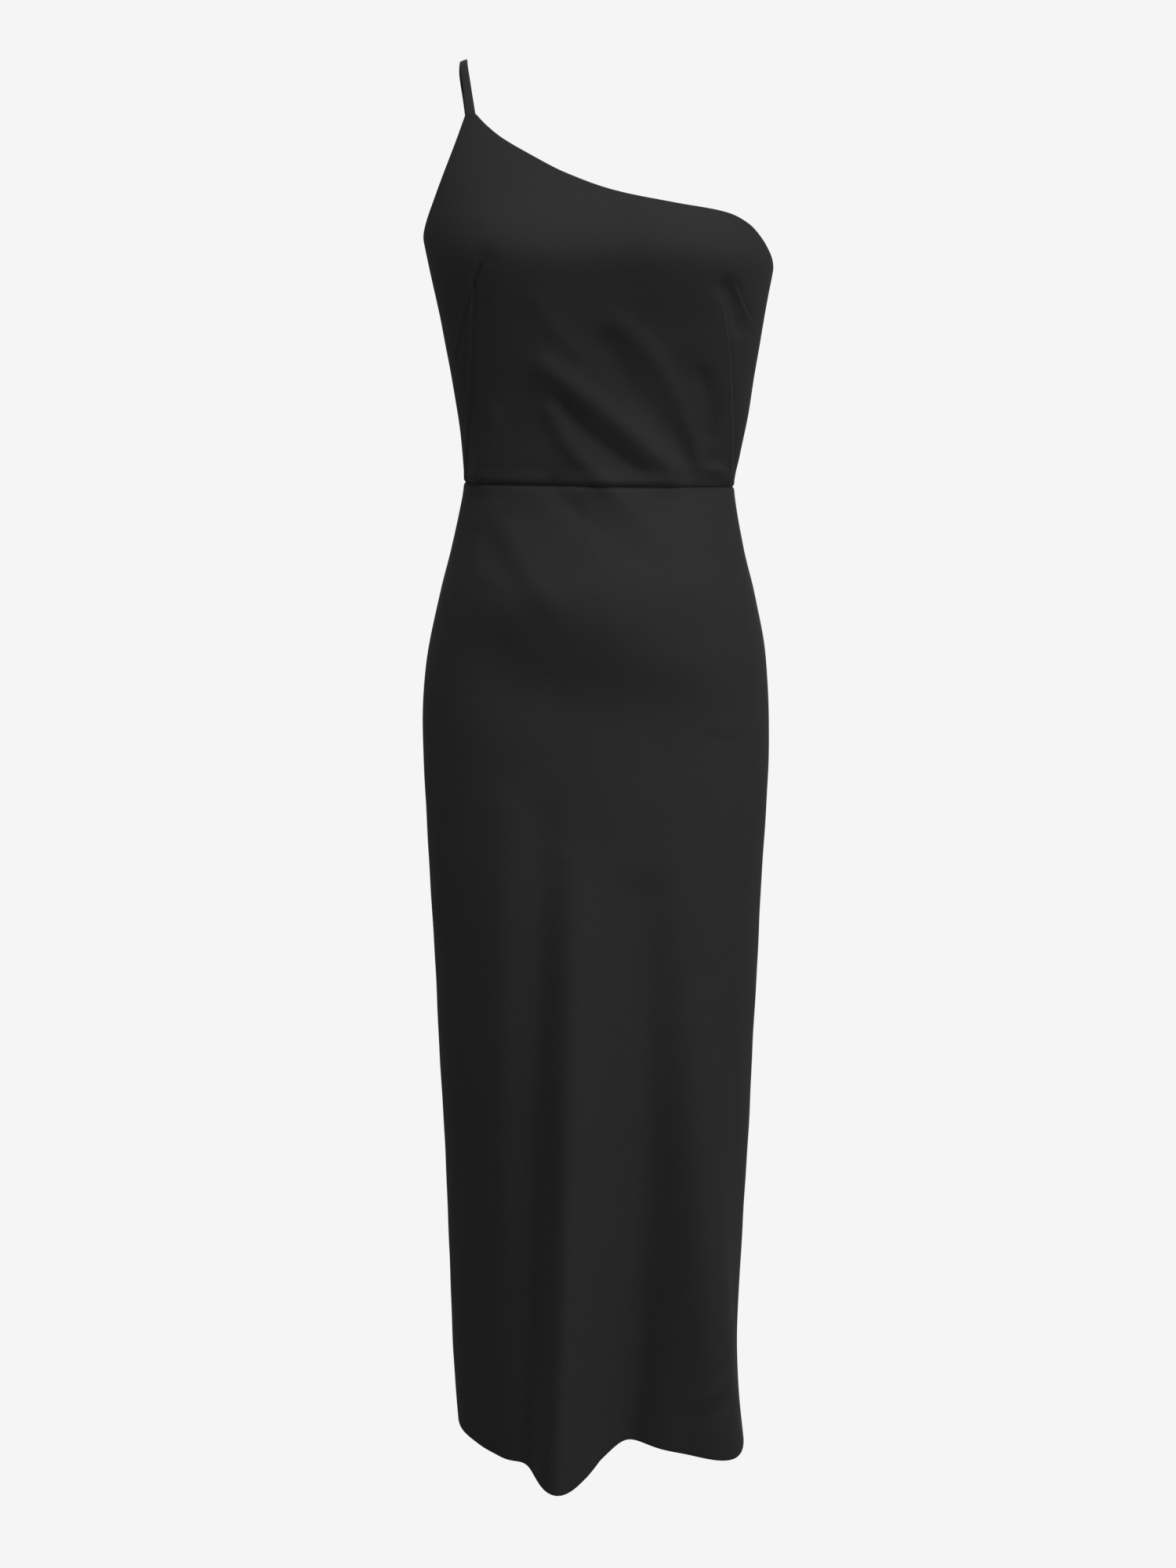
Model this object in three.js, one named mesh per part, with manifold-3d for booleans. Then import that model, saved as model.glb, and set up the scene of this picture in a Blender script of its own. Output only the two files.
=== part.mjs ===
// A floor-length one-shoulder column dress in heavy black crepe, worn and filled out, with no wearer.
// Millimetres, +Z up. The front faces -Y and the single shoulder strap is on the -X side. Heights in the
// tables are measured from the waist seam; the finished group is moved so that its origin is the underside
// of the strap on the shoulder, where the wearer holds the dress up.
import * as THREE from 'three';
import { mergeVertices } from 'three/addons/utils/BufferGeometryUtils.js';
import Module from 'manifold-3d';

// Driving dimensions
const WALL = 1.4;
const SEAM_GAP = 0.3;
const BACK_SQUARENESS = 2.3;
const WAIST_HEIGHT = 0;
const HEM_HEIGHT = -922;
const HEM_DIP = 0.3;
const HEM_TURN = 25;
const HEM_WALL = 2.6;
const SIDE_FADE = 0.32;

const STRAP_FRONT = { outerAcross: -0.7335, innerAcross: -0.678, height: 325 };
const STRAP_BACK = { outerAcross: -0.768, innerAcross: -0.716, height: 320 };
const STRAP_WALL = 1.8;
const SHOULDER = { x: -123, y: 0, height: 382 };

const ZIP_BOTTOM_HEIGHT = -160;
const ZIP_TAPE_WALL = 1;
const ZIP_TOP_MARGIN = 3;
const SLIDER_HEIGHT = 247;

const LEFT_SEAM = 0;
const RIGHT_SEAM = Math.PI;
const CENTRE_BACK = Math.PI * 1.5;
const FULL_TURN = Math.PI * 2;

function table(columns, rows) {
  return rows.map((row) => Object.fromEntries(columns.map((column, index) => [column, row[index]])));
}

// Sections through the worn dress: how far the cloth reaches from the middle to each side at a height, and
// how square its front half is (2 would be an ellipse).
const SECTIONS = table(['height', 'left', 'right', 'front', 'back', 'squareness'], [
  [345, 160.8, 162, 77, 91, 3.1],
  [325, 160.8, 162, 85, 93, 3.1],
  [290, 160.8, 162, 99, 96, 3.1],
  [255, 160.8, 162, 113, 97, 3.1],
  [225, 160.3, 162, 124.5, 97, 3.1],
  [200, 156, 161.3, 128, 97, 3.1],
  [170, 149.5, 156.2, 120, 96, 3.1],
  [140, 143.3, 151.5, 110.5, 94, 3.1],
  [100, 135.8, 145.4, 98.5, 90, 3.1],
  [60, 129.5, 139.5, 87, 88, 3],
  [25, 126.2, 132.6, 78.5, 88, 2.9],
  [0, 125.5, 127.8, 74.5, 88, 2.75],
  [-25, 129.4, 130.4, 79.5, 91, 2.6],
  [-60, 137, 137.4, 93, 98, 2.4],
  [-100, 147.5, 147.4, 106, 109, 2.3],
  [-150, 159, 157.3, 106, 122, 2.3],
  [-195, 164.8, 161.7, 102.5, 129, 2.3],
  [-245, 165.8, 163.3, 103.5, 128, 2.3],
  [-310, 163.7, 160.8, 108, 121, 2.3],
  [-400, 159.4, 156.5, 113, 114, 2.3],
  [-520, 154.4, 151.6, 114, 110, 2.3],
  [-680, 147.5, 144.9, 110, 108, 2.3],
  [-840, 142.7, 136, 108, 108, 2.3],
  [-960, 136, 129.5, 108, 108, 2.3],
]);

// Top edges, by how far across the section they are: -1 is the left side seam and 1 the right one.
const EDGE_COLUMNS = ['across', 'height'];
const LEFT_UNDERARM_HEIGHT = 217.4;
const ARMHOLE_HOLLOW = 0.12;
const FRONT_NECKLINE = table(EDGE_COLUMNS, [
  [-0.678, 325], [-0.62, 315], [-0.53, 303], [-0.36, 286.5], [-0.19, 272], [0.07, 256.5],
  [0.41, 245], [0.7, 237], [0.82, 228], [0.9, 216], [0.96, 203], [1, 192],
]);
const BACK_NECKLINE = table(EDGE_COLUMNS, [
  [-0.716, 320], [-0.52, 298], [-0.25, 275], [0, 259], [0.35, 246], [0.7, 237], [0.88, 222],
  [0.96, 208], [1, 192],
]);

// Folds: a path over the front or back in three points (x, height), its width and its rise at both ends.
const FOLD_COLUMNS = ['x1', 'z1', 'x2', 'z2', 'x3', 'z3', 'width1', 'width2', 'rise1', 'rise2'];
const FRONT_FOLDS = table(FOLD_COLUMNS, [
  // The bust, filled out on both sides of the middle.
  [-84, 192, -76, 198, -68, 192, 46, 46, 5, 5],
  [70, 192, 78, 198, 86, 192, 46, 46, 5, 5],
  // The round of the belly.
  [26, -20, 18, -105, 10, -200, 72, 80, 9, 6],
  // The hollows under the bust.
  [74, 125, 84, 75, 90, 18, 30, 34, -1.5, -12],
  [-84, 80, -76, 70, -68, 60, 36, 36, -3, -3],
  // Drag folds that run down to the right over the midriff, and the hollows between them.
  [-46, 102, 3, 65.5, 66, 14, 13, 12, 5.6, 6],
  [-34, 74, -5, 42, 38, 11, 6.5, 6, -3, -2.4],
  [-43, 64, -20, 26, 8, 4, 9, 9, 3.2, 4],
  [8, 123, 34, 82, 80, 27, 14, 12, -3, -2.2],
  [18, 140, 60.5, 95.5, 93, 23, 11, 9, 2.6, 3.2],
  [94, 95.5, 104, 73.5, 106, 47, 9, 9, -2.8, -2.6],
  [-93, 61, -102.5, 32, -111, 7, 8, 8, 2, 2.6],
  // Cloth that rolls a little over the waist seam on the right.
  [80, 11, 98, 12.5, 113, 11.5, 6, 6, 1, 3.6],
  // Drag folds below the waist seam and the shallow dip under the belly.
  [3.5, 0, 27.5, -21, 56, -52, 9, 11, 3.4, 1.4],
  [-44, 0, -16.5, -25.5, 28, -60, 10, 10, -3.6, -1.4],
  [-86, -39.5, -69, -71, -44, -106, 11, 14, 1.8, 1.2],
  [-99, -50, -81, -85, -51, -127, 12, 15, -2.2, -1.2],
  [-58, -108, 19, -134.5, 97.5, -180, 30, 32, 2, 3],
  [-87, -164, -26, -196, 46, -226, 38, 46, -7, -3],
  [-104, -10, -60, -9, -14, -7, 13, 13, 2.6, 3],
  // Flutes that grow towards the hem.
  [-86, -300, -86, -560, -80, -970, 20, 20, 3, 8],
  [-50, -300, -53, -566, -66, -970, 13, 15, -1.2, -7],
  [-22, -350, -26, -640, -34, -970, 21, 29, 3, 50],
  [38, -380, 40, -640, 26, -970, 24, 30, -4, -29],
  [94, -480, 102, -740, 114, -970, 22, 21, 2, 32],
]);
const BACK_FOLDS = table(FOLD_COLUMNS, [
  // Shoulder blades and seat.
  [-72, 195, -68, 205, -64, 195, 45, 45, 3, 3],
  [64, 185, 68, 195, 72, 185, 45, 45, 3, 3],
  [-66, -190, -62, -180, -58, -190, 48, 48, 4, 4],
  [58, -190, 62, -180, 66, -190, 48, 48, 4, 4],
  // Drag folds over the small of the back and below the seam.
  [-104, 92, -68, 58, -24, 30, 11, 10, 3.5, 2.5],
  [-96, 62, -60, 34, -30, 14, 9, 8, -3, -2],
  [100, 84, 66, 46, 32, 22, 11, 9, 3.5, 2.5],
  [88, 118, 52, 86, 22, 66, 11, 9, -2.5, -2],
  [-88, -24, -62, -50, -34, -92, 10, 11, -3, -2],
  [84, -20, 60, -44, 40, -76, 10, 10, 3, 2],
  // Flutes that grow towards the hem.
  [-84, -330, -80, -600, -76, -970, 22, 26, 1, 24],
  [-32, -420, -34, -660, -36, -970, 22, 22, -1, -14],
  [12, -450, 16, -700, 18, -970, 22, 22, 1, 12],
  [56, -400, 58, -650, 60, -970, 22, 22, -1, -12],
  [98, -360, 100, -620, 102, -970, 20, 22, 1, 18],
]);

// A smooth curve through a table's rows: cubic pieces whose slope at a row comes from both neighbours.
function smoothCurve(rows, input, output) {
  const knots = [...rows].sort((one, other) => one[input] - other[input]);
  const slopeBetween = (a, b) => (knots[b][output] - knots[a][output]) / (knots[b][input] - knots[a][input]);
  const slopes = knots.map((_, at) => slopeBetween(Math.max(at - 1, 0), Math.min(at + 1, knots.length - 1)));
  return (position) => {
    let at = 0;
    while (at < knots.length - 2 && position > knots[at + 1][input]) at += 1;
    const span = knots[at + 1][input] - knots[at][input];
    const t = THREE.MathUtils.clamp((position - knots[at][input]) / span, 0, 1);
    const rise = knots[at + 1][output] - knots[at][output];
    const bend = slopes[at] * span * t * (1 - t) ** 2 - slopes[at + 1] * span * t * t * (1 - t);
    return knots[at][output] + rise * t * t * (3 - 2 * t) + bend;
  };
}

const reach = Object.fromEntries(
  ['left', 'right', 'front', 'back', 'squareness']
    .map((column) => [column, smoothCurve(SECTIONS, 'height', column)]),
);
const frontNeckline = smoothCurve(FRONT_NECKLINE, 'across', 'height');
const backNeckline = smoothCurve(BACK_NECKLINE, 'across', 'height');

// A fold's path as a chain of points along the curve through its three given ones.
const FOLD_STEPS = 14;
function foldPath(fold) {
  const middleX = 2 * fold.x2 - (fold.x1 + fold.x3) / 2;
  const middleZ = 2 * fold.z2 - (fold.z1 + fold.z3) / 2;
  const path = new THREE.QuadraticBezierCurve(
    new THREE.Vector2(fold.x1, fold.z1),
    new THREE.Vector2(middleX, middleZ),
    new THREE.Vector2(fold.x3, fold.z3),
  );
  return { ...fold, points: path.getPoints(FOLD_STEPS) };
}

const frontFolds = FRONT_FOLDS.map(foldPath);
const backFolds = BACK_FOLDS.map(foldPath);

// How far one fold lifts the cloth at a place: its rise at the nearest point of its path, fading sideways.
function riseOfFold(fold, x, height) {
  let nearest = Infinity;
  let share = 0;
  for (let at = 0; at < FOLD_STEPS; at += 1) {
    const start = fold.points[at];
    const end = fold.points[at + 1];
    const alongX = end.x - start.x;
    const alongZ = end.y - start.y;
    const dot = (x - start.x) * alongX + (height - start.y) * alongZ;
    const t = THREE.MathUtils.clamp(dot / (alongX ** 2 + alongZ ** 2), 0, 1);
    const distance = Math.hypot(x - start.x - alongX * t, height - start.y - alongZ * t);
    if (distance < nearest) {
      nearest = distance;
      share = (at + t) / FOLD_STEPS;
    }
  }
  const width = THREE.MathUtils.lerp(fold.width1, fold.width2, share);
  const rise = THREE.MathUtils.lerp(fold.rise1, fold.rise2, share);
  return rise * Math.exp(-((nearest / width) ** 2));
}

const signedPower = (value, power) => Math.sign(value) * Math.abs(value) ** power;
const acrossAt = (angle) => -signedPower(Math.cos(angle), 2 / BACK_SQUARENESS);
const angleAt = (across) => Math.acos(signedPower(-across, BACK_SQUARENESS / 2));

// How far the folds lift the cloth at an angle round the section; nothing at the side seams.
function foldRise(angle, x, height) {
  const forward = Math.sin(angle);
  const folds = forward >= 0 ? frontFolds : backFolds;
  const sum = folds.reduce((total, fold) => total + riseOfFold(fold, x, height), 0);
  return sum * THREE.MathUtils.smoothstep(Math.abs(forward), 0, SIDE_FADE);
}

// The outside of the cloth at an angle round the section, from the left side seam by way of the front.
function clothPoint(angle, height) {
  const half = (reach.left(height) + reach.right(height)) / 2;
  const middle = (reach.right(height) - reach.left(height)) / 2;
  const across = acrossAt(angle);
  const isFront = Math.sin(angle) >= 0;
  const square = isFront ? reach.squareness(height) : BACK_SQUARENESS;
  const depth = isFront ? reach.front(height) : reach.back(height);
  const reachForward = Math.max(1 - Math.abs(across) ** square, 0) ** (1 / square);
  const forward = isFront ? reachForward : -reachForward;
  const x = middle + half * across;
  const outward = new THREE.Vector2(
    signedPower(across, square - 1) / half,
    -signedPower(forward, square - 1) / depth,
  ).normalize();
  const rise = foldRise(angle, x, height);
  return new THREE.Vector3(x + outward.x * rise, -depth * forward + outward.y * rise, height);
}

function clothNormal(angle, height) {
  const turn = 0.01;
  const around = clothPoint(angle + turn, height).sub(clothPoint(angle - turn, height));
  const up = clothPoint(angle, height + 1).sub(clothPoint(angle, height - 1));
  return around.cross(up).normalize();
}

// Angles that part a stretch of a usual section into equal lengths of cloth.
function evenAngles(start, end, count) {
  const samples = 360;
  const at = (index) => start + ((end - start) * index) / samples;
  const place = (angle) => new THREE.Vector2(
    150 * signedPower(Math.cos(angle), 2 / BACK_SQUARENESS),
    110 * signedPower(Math.sin(angle), 2 / BACK_SQUARENESS),
  );
  const lengths = [0];
  for (let index = 1; index <= samples; index += 1) {
    lengths.push(lengths[index - 1] + place(at(index)).distanceTo(place(at(index - 1))));
  }
  const angles = [];
  let index = 0;
  for (let step = 0; step <= count; step += 1) {
    const wanted = (lengths[samples] * step) / count;
    while (index < samples && lengths[index] < wanted) index += 1;
    angles.push(at(index));
  }
  return angles;
}

// The same angles with the nearest one moved to each place that must lie on a column of points.
function anglesThrough(angles, places) {
  const moved = [...angles];
  for (const place of places) {
    const gaps = moved.map((angle) => Math.abs(angle - place));
    moved[gaps.indexOf(Math.min(...gaps))] = place;
  }
  return moved;
}

// A closed wall from columns of points on its outside, each given as { outer, inner }.
function wallGeometry(columns) {
  const rowCount = columns[0].length;
  const positions = columns.flatMap((column) => column.flatMap(({ outer, inner }) => [
    ...outer.toArray(), ...inner.toArray(),
  ]));
  const outer = (column, row) => 2 * (column * rowCount + row);
  const inner = (column, row) => outer(column, row) + 1;
  const triangles = [];
  const quad = (a, b, c, d) => triangles.push(a, b, c, a, c, d);
  const lastColumn = columns.length - 1;
  const lastRow = rowCount - 1;
  for (let i = 0; i < lastColumn; i += 1) {
    for (let j = 0; j < lastRow; j += 1) {
      quad(outer(i, j), outer(i + 1, j), outer(i + 1, j + 1), outer(i, j + 1));
      quad(inner(i, j), inner(i, j + 1), inner(i + 1, j + 1), inner(i + 1, j));
    }
    quad(outer(i, 0), inner(i, 0), inner(i + 1, 0), outer(i + 1, 0));
    quad(outer(i, lastRow), outer(i + 1, lastRow), inner(i + 1, lastRow), inner(i, lastRow));
  }
  for (let j = 0; j < lastRow; j += 1) {
    quad(outer(0, j), outer(0, j + 1), inner(0, j + 1), inner(0, j));
    quad(outer(lastColumn, j), inner(lastColumn, j), inner(lastColumn, j + 1), outer(lastColumn, j + 1));
  }
  const geometry = new THREE.BufferGeometry();
  geometry.setAttribute('position', new THREE.Float32BufferAttribute(positions, 3));
  geometry.setIndex(triangles);
  geometry.computeVertexNormals();
  return geometry;
}

// One column of a panel: points up the cloth at an angle, set in from the outside by a depth.
function panelColumn(angle, heights, wallAt, inset = 0) {
  return heights.map((height) => {
    const inward = clothNormal(angle, height).negate();
    const outer = clothPoint(angle, height).addScaledVector(inward, inset);
    return { outer, inner: outer.clone().addScaledVector(inward, wallAt(height, angle)) };
  });
}

// Moves a panel's first and last columns half a seam gap away from the seams that they lie on.
function openSeams(columns) {
  const last = columns.length - 1;
  for (const [edge, beside] of [[0, 1], [last, last - 1]]) {
    columns[edge].forEach((pair, row) => {
      const away = columns[beside][row].outer.clone().sub(pair.outer).setZ(0).setLength(SEAM_GAP / 2);
      pair.outer.add(away);
      pair.inner.add(away);
    });
  }
  return columns;
}

function evenHeights(bottom, top, count) {
  return Array.from({ length: count + 1 }, (_, row) => THREE.MathUtils.lerp(bottom, top, row / count));
}

// The height of the bodice's top edge: the straight armhole, the strap's seam, then the neckline.
function topHeight(angle) {
  const across = acrossAt(angle);
  const isFront = Math.sin(angle) >= 0;
  const strapEnd = isFront ? STRAP_FRONT : STRAP_BACK;
  if (across <= strapEnd.outerAcross) {
    const share = (across + 1) / (strapEnd.outerAcross + 1);
    const hollow = ARMHOLE_HOLLOW * share * (1 - share);
    return THREE.MathUtils.lerp(LEFT_UNDERARM_HEIGHT, strapEnd.height, share - hollow);
  }
  return isFront ? frontNeckline(across) : backNeckline(across);
}

function hemHeight(angle) {
  return HEM_HEIGHT - HEM_DIP * foldRise(angle, clothPoint(angle, HEM_HEIGHT).x, HEM_HEIGHT);
}

const BODICE_ROWS = 13;
const SKIRT_ROWS = 22;
const bodiceHeights = (angle) => evenHeights(WAIST_HEIGHT + SEAM_GAP / 2, topHeight(angle), BODICE_ROWS);
const skirtHeights = (angle) => {
  const hem = hemHeight(angle);
  const upper = evenHeights(hem + HEM_TURN, WAIST_HEIGHT - SEAM_GAP / 2, SKIRT_ROWS);
  return [hem, hem + HEM_TURN - 1, ...upper];
};
const bodiceWall = () => WALL;
const skirtWall = (height, angle) => (height < hemHeight(angle) + HEM_TURN - 0.5 ? HEM_WALL : WALL);

function panel(angles, heightsAt, wallAt) {
  return wallGeometry(openSeams(angles.map((angle) => panelColumn(angle, heightsAt(angle), wallAt))));
}

const cloth = new THREE.MeshStandardMaterial({ color: '#1c1d1f', roughness: 0.6, metalness: 0 });
const tapeCloth = new THREE.MeshStandardMaterial({ color: '#141414', roughness: 0.8, metalness: 0 });
const blackMetal = new THREE.MeshStandardMaterial({ color: '#161616', roughness: 0.4, metalness: 0.6 });

function piece(name, geometry, material) {
  const mesh = new THREE.Mesh(geometry, material);
  mesh.name = name;
  return mesh;
}

const strapFrontAngles = [STRAP_FRONT.outerAcross, STRAP_FRONT.innerAcross].map(angleAt);
const strapBackAngles = [STRAP_BACK.outerAcross, STRAP_BACK.innerAcross]
  .map((across) => FULL_TURN - angleAt(across));
const backRightAngles = evenAngles(RIGHT_SEAM, CENTRE_BACK, 14);
const backLeftAngles = anglesThrough(evenAngles(CENTRE_BACK, FULL_TURN, 14), strapBackAngles);

const bodiceFrontAngles = anglesThrough(evenAngles(LEFT_SEAM, RIGHT_SEAM, 34), strapFrontAngles);
const bodice = [
  piece('bodice_front', panel(bodiceFrontAngles, bodiceHeights, bodiceWall), cloth),
  piece('bodice_back_left', panel(backLeftAngles, bodiceHeights, bodiceWall), cloth),
  piece('bodice_back_right', panel(backRightAngles, bodiceHeights, bodiceWall), cloth),
];

const skirt = [
  piece('skirt_front', panel(evenAngles(LEFT_SEAM, RIGHT_SEAM, 38), skirtHeights, skirtWall), cloth),
  piece('skirt_back_left', panel(evenAngles(CENTRE_BACK, FULL_TURN, 17), skirtHeights, skirtWall), cloth),
  piece('skirt_back_right', panel(evenAngles(RIGHT_SEAM, CENTRE_BACK, 17), skirtHeights, skirtWall), cloth),
];

// The strap runs from the front bodice's corner over the shoulder to the back bodice's. Each row gives a
// place on its middle line and half its width as a sideways vector; the ends sit on the bodice's corners.
function strapGeometry() {
  const end = (angles, height) => {
    const [outer, inner] = angles.map((angle) => clothPoint(angle, height));
    const middle = outer.clone().add(inner).multiplyScalar(0.5).setZ(height + SEAM_GAP);
    return { middle, side: inner.clone().sub(outer).multiplyScalar(0.5) };
  };
  const rows = [
    end(strapFrontAngles, STRAP_FRONT.height),
    { middle: new THREE.Vector3(-117, -50.5, 349), side: new THREE.Vector3(3.9, -1, 0.3) },
    { middle: new THREE.Vector3(-120.8, -28, 371), side: new THREE.Vector3(3.6, -0.4, 0.9) },
    { middle: new THREE.Vector3(SHOULDER.x, SHOULDER.y, SHOULDER.height), side: new THREE.Vector3(3.5, 0, 1.3) },
    { middle: new THREE.Vector3(-125, 32, 374), side: new THREE.Vector3(3.6, 0.4, 1) },
    { middle: new THREE.Vector3(-122.2, 58, 350), side: new THREE.Vector3(3.9, 1, 0.3) },
    end(strapBackAngles, STRAP_BACK.height),
  ];
  const middleLine = new THREE.CatmullRomCurve3(rows.map((row) => row.middle));
  const sideLine = new THREE.CatmullRomCurve3(rows.map((row) => row.side));
  const steps = 30;
  const columns = [-1, 0, 1].map((across) => Array.from({ length: steps + 1 }, (_, step) => {
    const t = step / steps;
    const side = sideLine.getPoint(t);
    const outward = side.clone().cross(middleLine.getTangent(t)).normalize();
    const outer = middleLine.getPoint(t).addScaledVector(side, across);
    const inner = outer.clone().addScaledVector(outward, -STRAP_WALL);
    if (step === 0 || step === steps) inner.setZ(outer.z);
    return { outer, inner };
  }));
  return wallGeometry(columns);
}

// The closed zip tapes lie inside the centre-back seam, on the panels' own columns and rows.
function zipTapeGeometry() {
  const angles = [backRightAngles[backRightAngles.length - 2], CENTRE_BACK, backLeftAngles[1]];
  const inset = WALL + SEAM_GAP;
  const columns = angles.map((angle) => {
    const skirtPart = skirtHeights(angle).filter((height) => height > ZIP_BOTTOM_HEIGHT);
    const bodicePart = bodiceHeights(angle).slice(1, -1);
    const heights = [...skirtPart, ...bodicePart, topHeight(angle) - ZIP_TOP_MARGIN];
    return panelColumn(angle, heights, () => ZIP_TAPE_WALL, inset);
  });
  return wallGeometry(columns);
}

const wasm = await Module();
wasm.setup();

function solidOf(geometry) {
  const plain = geometry.clone();
  plain.deleteAttribute('normal');
  plain.deleteAttribute('uv');
  const merged = mergeVertices(plain);
  return new wasm.Manifold(new wasm.Mesh({
    numProp: 3,
    vertProperties: merged.attributes.position.array,
    triVerts: new Uint32Array(merged.index.array),
  }));
}

function joined(first, second) {
  const mesh = solidOf(first).add(solidOf(second)).getMesh();
  const geometry = new THREE.BufferGeometry();
  geometry.setAttribute('position', new THREE.BufferAttribute(mesh.vertProperties, 3));
  geometry.setIndex(new THREE.BufferAttribute(mesh.triVerts, 1));
  geometry.computeVertexNormals();
  return geometry;
}

// A shape drawn in x and z, made as thick as given and standing out from the cloth from a depth on.
function plate(shape, thickness, depth) {
  const geometry = new THREE.ExtrudeGeometry(shape, { depth: thickness, bevelEnabled: false, curveSegments: 6 });
  return geometry.rotateX(Math.PI / 2).translate(0, depth + thickness, 0);
}

function roundedRectangle(left, bottom, right, top, radius) {
  const shape = new THREE.Shape();
  shape.absarc(right - radius, top - radius, radius, 0, Math.PI / 2);
  shape.absarc(left + radius, top - radius, radius, Math.PI / 2, Math.PI);
  shape.absarc(left + radius, bottom + radius, radius, Math.PI, Math.PI * 1.5);
  shape.absarc(right - radius, bottom + radius, radius, Math.PI * 1.5, Math.PI * 2);
  return shape;
}

// Zip slider: a plate on the seam with a bridge over its front, in the seam's own frame.
const SLIDER = { halfWidth: 2.8, halfHeight: 5, wall: 1.6, corner: 1.6 };
const BRIDGE = { halfWidth: 1.2, halfHeight: 3.9, reach: 5, bar: 0.9, corner: 0.8 };
const SLIDER_FACE = SEAM_GAP + SLIDER.wall;
function sliderGeometry() {
  const body = roundedRectangle(
    -SLIDER.halfWidth, -SLIDER.halfHeight, SLIDER.halfWidth, SLIDER.halfHeight, SLIDER.corner,
  );
  const rootDepth = SLIDER_FACE - 0.4;
  const bridge = roundedRectangle(
    rootDepth, -BRIDGE.halfHeight, BRIDGE.reach, BRIDGE.halfHeight, BRIDGE.corner,
  );
  const gapTop = BRIDGE.halfHeight - BRIDGE.bar;
  bridge.holes.push(roundedRectangle(SLIDER_FACE - 0.2, -gapTop, BRIDGE.reach - BRIDGE.bar, gapTop, 0.3));
  const arch = new THREE.ExtrudeGeometry(bridge, {
    depth: 2 * BRIDGE.halfWidth, bevelEnabled: false, curveSegments: 4,
  });
  const sideways = new THREE.Matrix4().makeBasis(
    new THREE.Vector3(0, 1, 0), new THREE.Vector3(0, 0, 1), new THREE.Vector3(1, 0, 0),
  );
  arch.applyMatrix4(sideways).translate(-BRIDGE.halfWidth, 0, 0);
  return joined(plate(body, SLIDER.wall, SEAM_GAP), arch);
}

// Pull tab: a flat drop with a window whose top bar lies under the bridge and turns there.
const HINGE = { depth: 3, height: -1.85 };
const TAB = { wall: 1.1, bar: 0.55, windowHalf: 1.7, frameHalf: 2.9, windowEnd: -6.6, wideHalf: 3.3, end: -24 };
function pullGeometry() {
  const drop = new THREE.Shape();
  const roundTop = TAB.bar;
  drop.moveTo(TAB.frameHalf - 0.5, roundTop);
  drop.lineTo(-TAB.frameHalf + 0.5, roundTop);
  drop.lineTo(-TAB.frameHalf, roundTop - 0.4);
  drop.lineTo(-TAB.frameHalf, TAB.windowEnd);
  drop.bezierCurveTo(-TAB.frameHalf, -12, -TAB.wideHalf, -15, -TAB.wideHalf, TAB.end + TAB.wideHalf);
  drop.absarc(0, TAB.end + TAB.wideHalf, TAB.wideHalf, Math.PI, Math.PI * 2);
  drop.bezierCurveTo(TAB.wideHalf, -15, TAB.frameHalf, -12, TAB.frameHalf, TAB.windowEnd);
  drop.lineTo(TAB.frameHalf, roundTop - 0.4);
  drop.holes.push(roundedRectangle(-TAB.windowHalf, TAB.windowEnd, TAB.windowHalf, -TAB.bar, 0.4));
  return plate(drop, TAB.wall, -TAB.wall / 2);
}

const seamPlace = clothPoint(CENTRE_BACK, SLIDER_HEIGHT);
const zipSlider = piece('zip_slider', sliderGeometry(), blackMetal);
zipSlider.position.copy(seamPlace);
const zipPull = piece('zip_pull', pullGeometry(), blackMetal);
zipPull.position.copy(seamPlace).add(new THREE.Vector3(0, HINGE.depth, HINGE.height));

const dress = new THREE.Group();
dress.add(...bodice, ...skirt);
dress.add(piece('strap', strapGeometry(), cloth));
dress.add(piece('zip_tape', zipTapeGeometry(), tapeCloth), zipSlider, zipPull);
dress.position.set(-SHOULDER.x, -SHOULDER.y, STRAP_WALL - SHOULDER.height);

const part = new THREE.Group();
part.add(dress);
export default part;
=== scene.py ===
"""A floor-length one-shoulder column dress in heavy black crepe, worn and filled out, with no wearer."""
import math

import bmesh
import bpy
import numpy as np
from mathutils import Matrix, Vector


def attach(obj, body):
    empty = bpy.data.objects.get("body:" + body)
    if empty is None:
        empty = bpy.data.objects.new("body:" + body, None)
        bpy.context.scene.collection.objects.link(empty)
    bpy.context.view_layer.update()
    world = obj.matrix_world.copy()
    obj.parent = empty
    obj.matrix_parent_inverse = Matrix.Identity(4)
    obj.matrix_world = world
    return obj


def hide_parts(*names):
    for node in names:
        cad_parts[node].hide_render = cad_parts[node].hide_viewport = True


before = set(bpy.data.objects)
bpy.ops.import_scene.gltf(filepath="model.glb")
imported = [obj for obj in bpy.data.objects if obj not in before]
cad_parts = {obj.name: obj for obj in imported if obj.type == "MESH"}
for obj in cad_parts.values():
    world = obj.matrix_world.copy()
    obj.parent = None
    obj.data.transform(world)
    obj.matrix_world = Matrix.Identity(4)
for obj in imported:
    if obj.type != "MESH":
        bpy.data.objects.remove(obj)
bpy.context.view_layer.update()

# Camera: the photograph's, 2.2 m in front of the dress and a little above its waist, so it looks level
# at the bodice and down on the hem.
CAMERA_PLACE = Vector((0.114, -2.2, -0.3302))
CAMERA_AIM = Vector((0.114, 0.0, -0.6667))
CAMERA_SENSOR = 36.0
CAMERA_LENS = 53.41
camera_data = bpy.data.cameras.new("camera")
camera_data.sensor_width = CAMERA_SENSOR
camera_data.lens = CAMERA_LENS
camera_data.clip_start = 0.01
camera = bpy.data.objects.new("camera", camera_data)
camera.location = CAMERA_PLACE
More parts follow.
